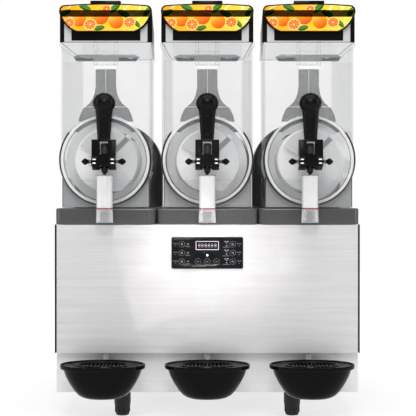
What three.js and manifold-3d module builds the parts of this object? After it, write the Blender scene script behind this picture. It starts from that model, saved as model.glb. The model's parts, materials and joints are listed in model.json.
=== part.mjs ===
// Three-bowl slush machine.
//
// A steel base holds the cooling system. Three cooled drums lie over it, each inside a clear bowl
// with its own auger, gear motor, lid, tap, drip tray and controls.
// Millimetres, +Z up, the front faces -Y, the origin is under the middle of the machine.

import * as THREE from 'three';
import { mergeVertices } from 'three/addons/utils/BufferGeometryUtils.js';
import Module from 'manifold-3d';

const wasm = await Module();
wasm.setup();

// ---------------------------------------------------------------- driving sizes

// Base
const bodyWidth = 600;          // casing, side to side
const bodyDepth = 402;          // front panel to the back of the casing
const footHeight = 48;          // floor to the base pan
const lowerPanelHeight = 81;    // recessed front of the base pan
const frontPanelHeight = 253;
const deckHeight = 31;          // black moulding under each bowl
const lowerPanelRecess = 25;    // how far the lower panel stands back from the front panel
const panelSheet = 1.2;         // front panel steel
const casingSheet = 2.4;        // hemmed casing edge
const panSheet = 1.5;
const gap = 0.4;                // between touching pieces
const runGap = 0.3;             // radial, between pieces that slide or turn

// Bowls
const bowlPitch = 200;
const axisRise = 95;            // deck top to the drum axis
const hopperHeight = 232;       // drum axis to the bowl rim
const hopperHalfWidth = 90;
const skirtHalfWidth = 86;      // the bowl's straight lower part
const noseRadius = 90;          // round front and lower part of the bowl
const bowlWall = 3.5;
const bowlCorner = 12;
const rimOverhang = 4;
const rimThickness = 6;
const noseReach = 8;            // round nose in front of the front panel
const hopperSetback = 7;        // hopper front wall behind the front panel
const sideDraft = 0.033;        // how far each side of a bowl and lid closes in, per mm towards the back
const bowlLength = 320;         // nose to rear edge

// Drum, auger and drive
const drumRadius = 62;
const drumWall = 3;
const drumFlangeRadius = 88;
const drumFlange = 5;
const drumNoseGap = 19;         // bowl front wall to the drum
const bladeRadius = 82;
const bladeInnerRadius = 66;
const bladeThickness = 5;
const bladeStartAngle = 45;     // degrees above level, where the spoke meets the blade
const bladePitch = 105;
const scraperRadius = 64;       // fan-shaped blade on the auger's front
const scraperThickness = 5;
const shaftRadius = 8;
const hubRadius = 16;
const coverDepth = 80;
const coverHalfWidth = 98;
const coverWall = 2.5;
const coverArchDrop = 8;        // arch centre below the drum axis
const motorHalfWidth = 38;
const motorCanRadius = 32;

// Tap
const spigotRadius = 17;
const spigotBoreRadius = 13.5;
const spigotOffset = 21;        // spigot axis in front of the front panel
const spigotTop = 29;           // below the drum axis
const spigotLength = 94;
const pivotOffset = 40;         // handle pivot in front of the front panel
const pivotDrop = 4;            // handle pivot below the drum axis
const pinRadius = 3;
const crossPinDrop = 11;        // piston cross pin below the handle pivot
const crossPinRadius = 2.5;
const stemRadius = 5;
const slotHalfWidth = 8.6;      // room for the piston stem in the handle
const cheekHalfWidth = 23;
const forkRecessHalf = 12;      // sunk middle of the fork's front, between its cheeks
const forkWebHalf = 7.5;        // web between the cheeks, in front of the pivot
const lugThickness = 4;
const knobRadius = 22;
const knobRise = 113;           // handle pivot to the middle of the knob

// Lid
const lidHalfWidth = 91;
const lidHeight = 75;
const lidWall = 2.5;
const lidCorner = 11;
const lidCrown = 3;
const bezelReach = 4;           // light box in front of the front panel
const bezelDepth = 12;
const bezelBottomRise = 19;     // light box above the lid's lower edge
const bezelFlatHalf = 58;
const bezelSweepRise = 38;      // how far the light box's lower corners sweep up
const lensThickness = 2.2;
const lensMargin = 2.4;
const tabHalfWidth = 30;
const tabHeight = 6;

// Drip trays
const trayReach = 118;          // tray front in front of the front panel
const trayHalfWidth = 81.5;
const trayHalfDepth = 56;
const trayHeight = 65;
const trayRimBand = 9;
const trayWall = 2.5;
const gridLedge = 3.5;          // grid seat above the rim band's lower edge
const trayDrop = 11.5;           // tray rim below the front panel's lower edge
const gridThickness = 3;
const gridSlot = 4;

// Controls
const controlWidth = 141;
const controlHeight = 62;
const controlPlate = 2.2;
const controlBoxDepth = 14;
const controlBoxMargin = 4.5;
const controlDrop = 25;         // top of the control panel below the top of the front panel
const buttonRadius = 6.2;
const buttonLength = 4;
const buttonProud = 1.2;
const buttonColumn = 50;
const buttonRow = 17;
const buttonMiddleColumn = 18;
const displayWidth = 45;
const displayHeight = 17;

// Feet and rear
const footX = 170;
const footInset = 45;
const footRadius = 16.5;
const glandReach = 8;           // cord gland behind the casing
const glandRadius = 11;
const pipeHoleRadius = 14;      // cooling pipes, through the top plate and each deck

// Sides of a round piece
const fineSides = 24;
const midSides = 14;
const smallSides = 10;

// ---------------------------------------------------------------- places worked out from them

const totalDepth = trayReach + bodyDepth + glandReach;
const faceY = trayReach - totalDepth / 2;
const backY = faceY + bodyDepth;
const halfWidth = bodyWidth / 2;
const panelBottomZ = footHeight + lowerPanelHeight + gap;
const panelTopZ = panelBottomZ + frontPanelHeight;
const deckBottomZ = panelTopZ + gap;
const deckTopZ = deckBottomZ + deckHeight;
const axisZ = deckTopZ + axisRise;
const rimZ = axisZ + hopperHeight;
const lowerPanelY = faceY + lowerPanelRecess;
const noseY = faceY - noseReach;
const hopperFrontY = faceY + hopperSetback;
const bowlBackY = noseY + bowlLength;
const hopperBackY = bowlBackY - 3;
const drumFrontY = noseY + bowlWall + drumNoseGap;
const drumFlangeY = bowlBackY + gap;
const coverFrontY = drumFlangeY + drumFlange + gap;
const coverBackY = coverFrontY + coverDepth;
const pivotY = faceY - pivotOffset;
const pivotZ = axisZ - pivotDrop;
const pipeHoleY = coverBackY - 24;
const spigotY = faceY - spigotOffset;
const spigotTopZ = axisZ - spigotTop;
const spigotBottomZ = spigotTopZ - spigotLength;
const trayRimZ = panelBottomZ - trayDrop;
const trayY = faceY - trayReach + trayHalfDepth;
const controlZ = panelTopZ - controlDrop - controlHeight / 2;

// ---------------------------------------------------------------- shape helpers

function toSolid(geometry) {
  const bare = geometry.clone();
  bare.deleteAttribute('normal');
  bare.deleteAttribute('uv');
  const merged = mergeVertices(bare, 1e-4);
  const points = merged.attributes.position.array;
  const faces = merged.index.array;
  const corner = (i) => new THREE.Vector3().fromArray(points, faces[i] * 3);
  let volume = 0;
  for (let i = 0; i < faces.length; i += 3) {
    volume += corner(i).dot(corner(i + 1).cross(corner(i + 2)));
  }
  const kept = [];
  for (let i = 0; i < faces.length; i += 3) {
    const [a, b, c] = [faces[i], faces[i + 1], faces[i + 2]];
    if (a === b || b === c || c === a) continue;
    kept.push(a, volume < 0 ? c : b, volume < 0 ? b : c);
  }
  return new wasm.Manifold(new wasm.Mesh({
    numProp: 3,
    vertProperties: new Float32Array(points),
    triVerts: new Uint32Array(kept),
  }));
}

function toGeometry(solid) {
  const mesh = solid.getMesh();
  const geometry = new THREE.BufferGeometry();
  geometry.setAttribute('position', new THREE.BufferAttribute(mesh.vertProperties, 3));
  geometry.setIndex(new THREE.BufferAttribute(mesh.triVerts, 1));
  return geometry;
}

const join = (first, ...rest) => rest.reduce((sum, solid) => sum.add(solid), first);
const cut = (first, ...rest) => rest.reduce((sum, solid) => sum.subtract(solid), first);

function box(x0, x1, y0, y1, z0, z1) {
  const geometry = new THREE.BoxGeometry(x1 - x0, y1 - y0, z1 - z0);
  return toSolid(geometry.translate((x0 + x1) / 2, (y0 + y1) / 2, (z0 + z1) / 2));
}

const mirrorBox = (x0, x1, y0, y1, z0, z1) =>
  box(x0, x1, y0, y1, z0, z1).add(box(-x1, -x0, y0, y1, z0, z1));

function rodX(radius, x0, x1, y, z, sides = smallSides) {
  const geometry = new THREE.CylinderGeometry(radius, radius, x1 - x0, sides);
  return toSolid(geometry.rotateZ(Math.PI / 2).translate((x0 + x1) / 2, y, z));
}

function rodY(radius, y0, y1, x, z, sides = smallSides) {
  const geometry = new THREE.CylinderGeometry(radius, radius, y1 - y0, sides);
  return toSolid(geometry.translate(x, (y0 + y1) / 2, z));
}

function rodZ(radius, z0, z1, x, y, sides = smallSides) {
  const geometry = new THREE.CylinderGeometry(radius, radius, z1 - z0, sides);
  return toSolid(geometry.rotateX(Math.PI / 2).translate(x, y, (z0 + z1) / 2));
}

// A flat outline drawn in X and Z, given a thickness from y0 to y1.
function slabY(shape, y0, y1, curveSegments = 6, reshape = (geometry) => geometry) {
  const geometry = new THREE.ExtrudeGeometry(shape, { depth: y1 - y0, bevelEnabled: false, curveSegments });
  return toSolid(reshape(geometry.rotateX(Math.PI / 2).translate(0, y1, 0)));
}

// A flat outline drawn in X and Y, given a height from z0 to z1.
function slabZ(shape, z0, z1, curveSegments = 6, reshape = (geometry) => geometry) {
  const geometry = new THREE.ExtrudeGeometry(shape, { depth: z1 - z0, bevelEnabled: false, curveSegments });
  return toSolid(reshape(geometry.translate(0, 0, z0)));
}

// A flat outline drawn in Y and Z, given a width from x0 to x1.
function slabX(shape, x0, x1, curveSegments = 5) {
  const geometry = new THREE.ExtrudeGeometry(shape, { depth: x1 - x0, bevelEnabled: false, curveSegments });
  return toSolid(geometry.rotateX(Math.PI / 2).rotateZ(Math.PI / 2).translate(x0, 0, 0));
}

// Draws both sides of a shell in towards its back.
function drafted(geometry) {
  const places = geometry.attributes.position;
  for (let i = 0; i < places.count; i += 1) {
    const closing = sideDraft * (places.getY(i) - hopperFrontY) / hopperHalfWidth;
    places.setX(i, places.getX(i) * (1 - closing));
  }
  return geometry;
}

// A profile of [radius, height] pairs turned about a standing axis.
function turned(profile, sides) {
  const points = profile.map(([radius, height]) => new THREE.Vector2(radius, height));
  return new THREE.LatheGeometry(points, sides).rotateX(Math.PI / 2);
}

function roundedRect(x0, x1, y0, y1, radius) {
  const shape = new THREE.Shape();
  shape.moveTo(x0 + radius, y0);
  shape.lineTo(x1 - radius, y0);
  shape.absarc(x1 - radius, y0 + radius, radius, -Math.PI / 2, 0, false);
  shape.lineTo(x1, y1 - radius);
  shape.absarc(x1 - radius, y1 - radius, radius, 0, Math.PI / 2, false);
  shape.lineTo(x0 + radius, y1);
  shape.absarc(x0 + radius, y1 - radius, radius, Math.PI / 2, Math.PI, false);
  shape.lineTo(x0, y0 + radius);
  shape.absarc(x0 + radius, y0 + radius, radius, Math.PI, Math.PI * 1.5, false);
  return shape;
}

// ---------------------------------------------------------------- finishes

const finish = (color, roughness, metalness, extra = {}) =>
  new THREE.MeshStandardMaterial({ color, roughness, metalness, flatShading: true, ...extra });

const finishes = {
  steel: () => finish(0xc9cacb, 0.35, 1),
  galvanised: () => finish(0x9fa3a6, 0.5, 1),
  clear: () => finish(0xeef3f4, 0.06, 0, { transparent: true, opacity: 0.35 }),
  white: () => finish(0xe9eaea, 0.35, 0),
  gloss: () => finish(0x0e0e0f, 0.18, 0),
  satin: () => finish(0x3a3a3c, 0.4, 0),
  rubber: () => finish(0x141414, 0.8, 0),
  print: () => finish(0xf2b21b, 0.2, 0),
  copper: () => finish(0xb87545, 0.4, 1),
};

function piece(name, solid, material) {
  const mesh = new THREE.Mesh(toGeometry(solid), material());
  mesh.name = name;
  return mesh;
}

// ---------------------------------------------------------------- base

function basePan() {
  const inner = halfWidth - casingSheet - gap;
  const back = backY - casingSheet - gap;
  const curb = 20;
  const plate = box(-inner, inner, lowerPanelY, back, footHeight, footHeight + panSheet);
  const lowerPanel = box(-halfWidth + gap, halfWidth - gap, lowerPanelY, lowerPanelY + panSheet,
    footHeight, footHeight + lowerPanelHeight);
  const sides = mirrorBox(inner - panSheet, inner, lowerPanelY, back, footHeight, footHeight + curb);
  const rear = box(-inner, inner, back - panSheet, back, footHeight, footHeight + curb);
  const air = [];
  for (let i = -2; i <= 2; i += 1) {
    air.push(box(i * 56 - 8, i * 56 + 8, lowerPanelY + 90, back - 90, footHeight - 1, footHeight + 3));
  }
  return cut(join(plate, lowerPanel, sides, rear), ...air);
}

function foot() {
  const waist = footRadius - 1.5;
  const sole = footRadius - 3;
  const top = footHeight - gap;
  const profile = [[0, 0], [sole, 0], [waist, 10], [footRadius, 20], [footRadius, top], [0, top]];
  return toSolid(turned(profile, smallSides));
}

function frontPanel() {
  const side = halfWidth - casingSheet - gap;
  const back = lowerPanelY - gap;
  const lip = 14;
  const holeWidth = controlWidth / 2 - controlBoxMargin + gap;
  const holeHeight = controlHeight / 2 - controlBoxMargin + gap;
  const sheet = box(-side, side, faceY, faceY + panelSheet, panelBottomZ, panelTopZ);
  const sill = box(-side, side, faceY, back, panelBottomZ, panelBottomZ + panelSheet);
  const lips = mirrorBox(side - panelSheet, side, faceY, faceY + lip, panelBottomZ, panelTopZ);
  const hole = box(-holeWidth, holeWidth, faceY - 1, faceY + panelSheet + 1,
    controlZ - holeHeight, controlZ + holeHeight);
  return cut(join(sheet, sill, lips), hole);
}

function casing() {
  const front = faceY + casingSheet;
  const bottom = footHeight;
  const outer = box(-halfWidth, halfWidth, front, backY, bottom, panelTopZ);
  const inner = box(-halfWidth + casingSheet, halfWidth - casingSheet, front - 1, backY - casingSheet,
    bottom - 1, panelTopZ + 1);
  const notch = box(-halfWidth - 1, halfWidth + 1, front - 1, lowerPanelY + panSheet + gap,
    bottom - 1, panelBottomZ);
  const gland = rodY(glandRadius, backY - 1, backY + glandReach, halfWidth - 90, footHeight + 60);
  const slots = [];
  const sideRows = 7;
  const rearRows = 5;
  const louvre = 6;
  for (let i = 0; i < sideRows; i += 1) {
    const z = footHeight + 110 + i * 24;
    slots.push(box(-halfWidth - 1, halfWidth + 1, -30, 150, z, z + louvre));
  }
  for (let i = 0; i < rearRows; i += 1) {
    const z = footHeight + 140 + i * 24;
    slots.push(box(-210, -20, backY - 10, backY + 1, z, z + louvre));
    slots.push(box(20, 210, backY - 10, backY + 1, z, z + louvre));
  }
  return join(cut(outer, inner, notch, ...slots), gland);
}

function topPlate() {
  const side = halfWidth - casingSheet - gap;
  const plate = box(-side + 2, side - 2, faceY + 15, backY - casingSheet - gap,
    panelTopZ - 3, panelTopZ - 1);
  const holes = [-1, 0, 1].map((place) =>
    rodZ(pipeHoleRadius, panelTopZ - 4, panelTopZ, place * bowlPitch, pipeHoleY));
  return cut(plate, ...holes);
}

// ---------------------------------------------------------------- cooling system

const compressorX = -150;
const compressorY = 130;
const compressorRadius = 62;
const condenserX = 130;
const condenserHalf = 120;
const condenserY = 60;
const condenserDepth = 44;
const fanY = condenserY + condenserDepth + 26;
const fanZ = footHeight + 135;
const fanRadius = 86;

function compressor() {
  const base = footHeight + panSheet + gap;
  const shell = toSolid(turned([
    [0, base + 10], [50, base + 10], [compressorRadius, base + 24], [compressorRadius, base + 120],
    [54, base + 146], [34, base + 160], [0, base + 163],
  ], midSides)).translate([compressorX, compressorY, 0]);
  const plate = box(compressorX - 70, compressorX + 70, compressorY - 45, compressorY + 45,
    base + 6, base + 12);
  const terminals = box(compressorX - 22, compressorX + 22, compressorY - compressorRadius - 14,
    compressorY - compressorRadius + 12, base + 60, base + 104);
  const feet = [[-58, -33], [58, -33], [-58, 33], [58, 33]].map(([x, y]) =>
    rodZ(10, base, base + 8, compressorX + x, compressorY + y, 8));
  const stub = rodZ(5, base + 100, base + 190, compressorX + 46, compressorY, 8);
  return join(shell, plate, terminals, stub, ...feet);
}

// Fins in a frame, a shroud behind them, and the fan motor on its bracket.
function condenser() {
  const base = footHeight + panSheet + gap;
  const top = base + 250;
  const [left, right] = [condenserX - condenserHalf, condenserX + condenserHalf];
  const back = condenserY + condenserDepth;
  const wall = 3;
  const frame = cut(
    box(left, right, condenserY, back, base, top),
    box(left + wall, right - wall, condenserY - 1, back + 1, base + wall, top - wall),
  );
  const fins = [];
  const finCount = 11;
  for (let i = 1; i < finCount; i += 1) {
    const x = left + (right - left) * i / finCount;
    fins.push(box(x - 1, x + 1, condenserY + 4, back - 4, base + 1, top - 1));
  }
  const shroud = cut(
    box(left, right, back - 0.5, back + 12, base, top),
    rodY(fanRadius + 6, back - 2, back + 14, condenserX, fanZ, fineSides),
  );
  const bar = box(left, right, back + 9, back + 12, fanZ - 8, fanZ + 8);
  const motor = rodY(18, back + 2, back + 14, condenserX, fanZ);
  const spindle = rodY(3, back + 13, fanY + 20, condenserX, fanZ);
  return join(frame, shroud, bar, motor, spindle, ...fins);
}

function fan() {
  const hub = rodY(20, fanY - 8, fanY + 14, condenserX, fanZ);
  const blades = [];
  const bladeCount = 5;
  for (let i = 0; i < bladeCount; i += 1) {
    const geometry = new THREE.BoxGeometry(46, 2.5, fanRadius - 16);
    geometry.translate(0, 0, (fanRadius + 16) / 2);
    geometry.rotateZ(THREE.MathUtils.degToRad(24));
    geometry.rotateY(i * 2 * Math.PI / bladeCount);
    geometry.translate(condenserX, fanY + 3, fanZ);
    blades.push(toSolid(geometry));
  }
  const bore = rodY(3 + runGap, fanY - 10, fanY + 16, condenserX, fanZ);
  return cut(join(hub, ...blades), bore);
}

// ---------------------------------------------------------------- controls

const holeDepth = 6;

const buttonPlaces = [];
for (const [side, x] of [['left', -buttonColumn], ['right', buttonColumn]]) {
  ['top', 'middle', 'bottom'].forEach((row, i) => {
    buttonPlaces.push([`button_${side}_${row}`, x, controlZ + buttonRow * (1 - i)]);
  });
}
['left', 'middle', 'right'].forEach((side, i) => {
  buttonPlaces.push([`button_centre_${side}`, buttonMiddleColumn * (i - 1), controlZ - buttonRow]);
});

function controlPanel() {
  const front = faceY - gap - controlPlate;
  const halfBox = controlWidth / 2 - controlBoxMargin;
  const halfBoxHeight = controlHeight / 2 - controlBoxMargin;
  const face = slabY(roundedRect(-controlWidth / 2, controlWidth / 2, controlZ - controlHeight / 2,
    controlZ + controlHeight / 2, 3), front, faceY - gap, 2);
  const housing = box(-halfBox, halfBox, faceY - gap - 0.1, faceY + controlBoxDepth,
    controlZ - halfBoxHeight, controlZ + halfBoxHeight);
  const holes = buttonPlaces.map(([, x, z]) =>
    rodY(buttonRadius + runGap, front - 1, front + holeDepth, x, z));
  const displayTop = controlZ + controlHeight / 2 - 8;
  const display = box(-displayWidth / 2, displayWidth / 2, front - 1, front + 0.8,
    displayTop - displayHeight, displayTop);
  return cut(join(face, housing), display, ...holes);
}

function button(x, z) {
  const front = faceY - gap - controlPlate - buttonProud;
  return rodY(buttonRadius, front, front + buttonLength, x, z);
}

// ---------------------------------------------------------------- one bowl station, about x = 0

function deck() {
  const half = bowlPitch / 2 - 1;
  const wall = 3;
  const cornerRadius = 14;
  const shape = new THREE.Shape();
  shape.moveTo(-half, coverBackY);
  shape.lineTo(-half, faceY + cornerRadius);
  shape.absarc(-half + cornerRadius, faceY + cornerRadius, cornerRadius, Math.PI, Math.PI * 1.5, false);
  shape.lineTo(half - cornerRadius, faceY);
  shape.absarc(half - cornerRadius, faceY + cornerRadius, cornerRadius, -Math.PI / 2, 0, false);
  shape.lineTo(half, coverBackY);
  const body = slabZ(shape, deckBottomZ, deckTopZ, 4);
  const hollow = box(-half + wall, half - wall, faceY + cornerRadius, coverBackY - wall,
    deckBottomZ - 1, deckTopZ - wall);
  const pipeHole = rodZ(pipeHoleRadius, deckBottomZ - 1, deckTopZ + 1, 0, pipeHoleY);
  return cut(body, hollow, pipeHole);
}

function archShape(halfWidthX, bottom, inset = 0) {
  const centre = axisZ - coverArchDrop;
  const radius = halfWidthX - inset;
  const shape = new THREE.Shape();
  shape.moveTo(-radius, bottom);
  shape.lineTo(radius, bottom);
  shape.lineTo(radius, centre);
  shape.absarc(0, centre, radius, 0, Math.PI, false);
  return shape;
}

function rearCover() {
  const archSegments = fineSides / 2;
  const bottom = deckTopZ + gap;
  const shell = slabY(archShape(coverHalfWidth, bottom), coverFrontY, coverBackY, archSegments);
  const hollow = slabY(archShape(coverHalfWidth, bottom - 1, coverWall), coverFrontY + coverWall,
    coverBackY - coverWall, archSegments);
  const driveHole = rodY(45, coverFrontY - 1, coverFrontY + coverWall + 1, 0, axisZ, midSides);
  return cut(shell, hollow, driveHole);
}

function drum() {
  const rear = drumFlangeY + drumFlange;
  const geometry = turned([
    [shaftRadius + 1, drumFrontY], [drumRadius, drumFrontY], [drumRadius, drumFlangeY],
    [drumFlangeRadius, drumFlangeY], [drumFlangeRadius, rear], [drumRadius - drumWall, rear],
    [drumRadius - drumWall, drumFrontY + drumWall], [shaftRadius + 1, drumFrontY + drumWall],
    [shaftRadius + 1, drumFrontY],
  ], fineSides);
  geometry.rotateX(-Math.PI / 2);
  geometry.translate(0, 0, axisZ);
  return toSolid(geometry);
}

function gearMotor() {
  const front = coverFrontY + coverWall + gap;
  const gearbox = box(-motorHalfWidth, motorHalfWidth, front + 3, front + 38,
    axisZ - motorHalfWidth, axisZ + motorHalfWidth);
  const flange = rodY(56, front, front + 4, 0, axisZ, midSides);
  const can = rodY(motorCanRadius, front + 37, coverBackY - coverWall - 3, 0, axisZ, midSides);
  const socket = rodY(shaftRadius + runGap, front - 1, front + 24, 0, axisZ, midSides);
  return cut(join(flange, gearbox, can), socket);
}

// A flat strip wound round the drum, with a shaft and a hub, and a scraper blade at the front.
function auger() {
  const bladeStart = drumFrontY - 8;
  const bladeEnd = drumFlangeY - 8;
  const turns = (bladeEnd - bladeStart) / bladePitch;
  const stepsPerTurn = 12;
  const steps = Math.round(turns * stepsPerTurn);
  const strip = new THREE.BoxGeometry(1, bladeRadius - bladeInnerRadius, bladeThickness, steps, 1, 1);
  const places = strip.attributes.position;
  for (let i = 0; i < places.count; i += 1) {
    const along = places.getX(i) + 0.5;
    const radius = (bladeInnerRadius + bladeRadius) / 2 + places.getY(i);
    const angle = along * turns * 2 * Math.PI + THREE.MathUtils.degToRad(bladeStartAngle);
    const y = bladeStart + along * (bladeEnd - bladeStart) + places.getZ(i);
    places.setXYZ(i, radius * Math.cos(angle), y, axisZ + radius * Math.sin(angle));
  }
  const [from, to] = [-41, 152].map(THREE.MathUtils.degToRad);
  const toe = scraperRadius - 3;
  const fan = new THREE.Shape();
  fan.moveTo(0, axisZ - toe);
  fan.lineTo(toe / 2, axisZ - toe);
  fan.absarc(0, axisZ, scraperRadius, from, to, false);
  fan.lineTo(0, axisZ);
  const scraperY = drumFrontY - 12;
  const scraper = slabY(fan, scraperY, scraperY + scraperThickness, 12);
  const hub = rodY(hubRadius, drumFrontY - 14, drumFrontY - 1, 0, axisZ, midSides);
  const shaft = rodY(shaftRadius, scraperY, coverFrontY + coverWall + 20, 0, axisZ, midSides);
  const spoke = box(-6, 6, scraperY, bladeStart + bladeThickness / 2, hubRadius - 2, bladeInnerRadius + 1)
    .rotate([0, bladeStartAngle, 0]).translate([0, 0, axisZ]);
  return join(toSolid(strip), scraper, hub, shaft, spoke);
}

// The bowl, open above and behind, with its tap tube and the two lugs that hold the tap's pin.
function bowl() {
  const skirtBottom = deckTopZ + 1;
  const hopper = slabZ(roundedRect(-hopperHalfWidth, hopperHalfWidth, hopperFrontY, hopperBackY, bowlCorner),
    axisZ, rimZ, 2, drafted);
  const rim = slabZ(roundedRect(-hopperHalfWidth - rimOverhang, hopperHalfWidth + rimOverhang,
    hopperFrontY - rimOverhang, hopperBackY + rimOverhang, bowlCorner + rimOverhang),
  rimZ - rimThickness, rimZ, 2, drafted);
  const skirt = box(-skirtHalfWidth, skirtHalfWidth, hopperFrontY, hopperBackY, skirtBottom, axisZ);
  const nose = rodY(noseRadius, noseY, bowlBackY, 0, axisZ, fineSides);
  const spigot = rodZ(spigotRadius, spigotBottomZ, spigotTopZ, 0, spigotY, midSides);
  const lugs = mirrorBox(cheekHalfWidth + 1, cheekHalfWidth + 1 + lugThickness, pivotY - 9, noseY + 1,
    pivotZ - 11, pivotZ + 11);

  const hopperRoom = slabZ(roundedRect(-hopperHalfWidth + bowlWall, hopperHalfWidth - bowlWall,
    hopperFrontY + bowlWall, hopperBackY - bowlWall, bowlCorner - bowlWall), axisZ, rimZ + 1, 2, drafted);
  const drumRoom = rodY(noseRadius - bowlWall, noseY + bowlWall, bowlBackY + 1, 0, axisZ, fineSides);
  const underside = cut(
    box(-skirtHalfWidth + bowlWall, skirtHalfWidth - bowlWall, hopperFrontY + bowlWall, hopperBackY + 1,
      skirtBottom - 1, axisZ - 30),
    rodY(noseRadius, noseY, bowlBackY + 2, 0, axisZ, fineSides),
  );
  const bore = rodZ(spigotBoreRadius, spigotBottomZ - 1, spigotTopZ - 3, 0, spigotY, midSides);
  const stemHole = rodZ(stemRadius + runGap, spigotTopZ - 5, spigotTopZ + 1, 0, spigotY);
  const portTop = axisZ - noseRadius + bowlWall + 14;
  const port = box(-9, 9, spigotY, noseY + bowlWall + 1, portTop - 16, portTop);
  const pinHole = rodX(pinRadius + gap, -60, 60, pivotY, pivotZ);

  const outside = join(hopper, rim, skirt, nose, spigot, lugs);
  return cut(outside, hopperRoom, drumRoom, underside, bore, stemHole, port, pinHole);
}

function tapPin() {
  const inner = cheekHalfWidth + 1 + lugThickness + gap;
  const profile = [
    [0, -inner - 15], [4.6, -inner - 13], [6.8, -inner - 7.5], [4.2, -inner], [pinRadius, -inner],
  ];
  const mirrored = profile.map(([radius, x]) => [radius, -x]).reverse();
  const geometry = turned([...profile, ...mirrored], smallSides).rotateY(Math.PI / 2);
  return toSolid(geometry.translate(0, pivotY, pivotZ));
}

// The piston closes the spigot. Its cross pin runs in the slots of the handle, which lifts it.
function tapPiston() {
  const radius = spigotBoreRadius - runGap;
  const seal = radius - 1.6;
  const bottom = spigotBottomZ + 22;
  const top = bottom + 44;
  const collar = pivotZ + 16;
  const body = toSolid(turned([
    [0, bottom], [radius, bottom], [radius, bottom + 4], [seal, bottom + 4.3], [seal, bottom + 7.7],
    [radius, bottom + 8], [radius, top - 8], [seal, top - 7.7], [seal, top - 4.3], [radius, top - 4],
    [radius, top], [stemRadius, top], [stemRadius, spigotTopZ + 3], [6.6, spigotTopZ + 12],
    [7.8, collar], [7.8, collar + 20], [0, collar + 20],
  ], midSides)).translate([0, spigotY, 0]);
  const crossPin = rodX(crossPinRadius, -20, 20, spigotY, pivotZ - crossPinDrop, 8);
  return join(body, crossPin);
}

function tapHandle() {
  const armY = spigotY - pivotY;
  const slotAngle = Math.atan2(crossPinDrop, armY);
  const farReach = Math.hypot(armY, crossPinDrop);
  const webBack = armY - 12;

  const cheek = new THREE.Shape();
  cheek.moveTo(-3, -8);
  cheek.lineTo(armY - 8, -16);
  cheek.lineTo(armY + 2, -16);
  cheek.lineTo(armY + 5, -12);
  cheek.lineTo(armY + 2, 20);
  cheek.lineTo(armY - 2, 44);
  cheek.lineTo(-5, 44);
  cheek.absarc(0, 0, 12, THREE.MathUtils.degToRad(130), THREE.MathUtils.degToRad(230), false);
  const block = slabX(cheek, -cheekHalfWidth, cheekHalfWidth, 4);

  const shank = toSolid(new THREE.CylinderGeometry(15, 12.6, 68, midSides).rotateX(Math.PI / 2)
    .scale(1, 0.68, 1).translate(0, 6, 42 + 34));
  const knob = toSolid(new THREE.SphereGeometry(knobRadius, midSides, 8).rotateX(Math.PI / 2)
    .scale(1, 0.86, 0.94).translate(0, 8, knobRise));

  const behind = box(-slotHalfWidth, slotHalfWidth, webBack, armY + 20, -20, 39);
  const window = box(-slotHalfWidth, slotHalfWidth, -20, webBack + 1, 14, 39);
  const under = box(-slotHalfWidth, slotHalfWidth, -20, webBack + 1, -20, -8);
  const recess = box(-forkRecessHalf, forkRecessHalf, -20, -forkWebHalf, -20, 40);
  const pinHole = rodX(pinRadius + runGap, -40, 40, 0, 0);
  const reach = farReach - armY + 2 * (crossPinRadius + 0.6);
  const width = 2 * (crossPinRadius + 0.6);
  const slot = toSolid(new THREE.BoxGeometry(41, reach, width)
    .translate(0, (farReach + armY) / 2, 0).rotateX(-slotAngle));

  const handle = cut(join(block, shank, knob), behind, window, under, recess, pinHole, slot);
  return handle.translate([0, pivotY, pivotZ]);
}

// The light box's front outline, a crowned panel whose lower edge sweeps up to its ends.
function lidFace(inset) {
  const bottom = rimZ + gap + bezelBottomRise + inset;
  const top = rimZ + gap + lidHeight - inset;
  const side = lidHalfWidth - inset;
  const flat = bezelFlatHalf - inset * 0.4;
  const radius = lidCorner - inset;
  const shape = new THREE.Shape();
  shape.moveTo(-flat, bottom);
  shape.lineTo(flat, bottom);
  shape.quadraticCurveTo(side - 8, bottom + 9, side, bottom + bezelSweepRise);
  shape.lineTo(side, top - lidCrown - radius);
  shape.absarc(side - radius, top - lidCrown - radius, radius, 0, Math.PI / 2, false);
  shape.quadraticCurveTo(0, top + lidCrown, -side + radius, top - lidCrown);
  shape.absarc(-side + radius, top - lidCrown - radius, radius, Math.PI / 2, Math.PI, false);
  shape.lineTo(-side, bottom + bezelSweepRise);
  shape.quadraticCurveTo(-side + 8, bottom + 9, -flat, bottom);
  return shape;
}

function lidBodyShape(inset, drop = 0) {
  const bottom = rimZ + gap - drop;
  const top = rimZ + gap + lidHeight - 1.5 - inset;
  const side = lidHalfWidth - inset;
  const radius = lidCorner - inset;
  const shape = new THREE.Shape();
  shape.moveTo(-side, bottom);
  shape.lineTo(side, bottom);
  shape.lineTo(side, top - lidCrown - radius);
  shape.absarc(side - radius, top - lidCrown - radius, radius, 0, Math.PI / 2, false);
  shape.quadraticCurveTo(0, top + lidCrown, -side + radius, top - lidCrown);
  shape.absarc(-side + radius, top - lidCrown - radius, radius, Math.PI / 2, Math.PI, false);
  return shape;
}

function lid() {
  const front = faceY - bezelReach;
  const bodyFront = front + bezelDepth;
  const back = hopperBackY + 2;
  const body = slabY(lidBodyShape(0), bodyFront - 1, back, 2, drafted);
  const bezel = slabY(lidFace(0), front, bodyFront, 2);
  const room = slabY(lidBodyShape(lidWall, 1), bodyFront + lidWall, back - lidWall, 2, drafted);
  const lensSeat = slabY(lidFace(lensMargin - gap), front - 1, front + lensThickness + gap, 2);
  const top = rimZ + gap + lidHeight;
  const tab = box(-tabHalfWidth, tabHalfWidth, front + 1, front + 15, top - 5, top + tabHeight);
  return cut(join(body, bezel, tab), room, lensSeat);
}

const lidLens = () => slabY(lidFace(lensMargin), faceY - bezelReach, faceY - bezelReach + lensThickness, 2);

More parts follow.
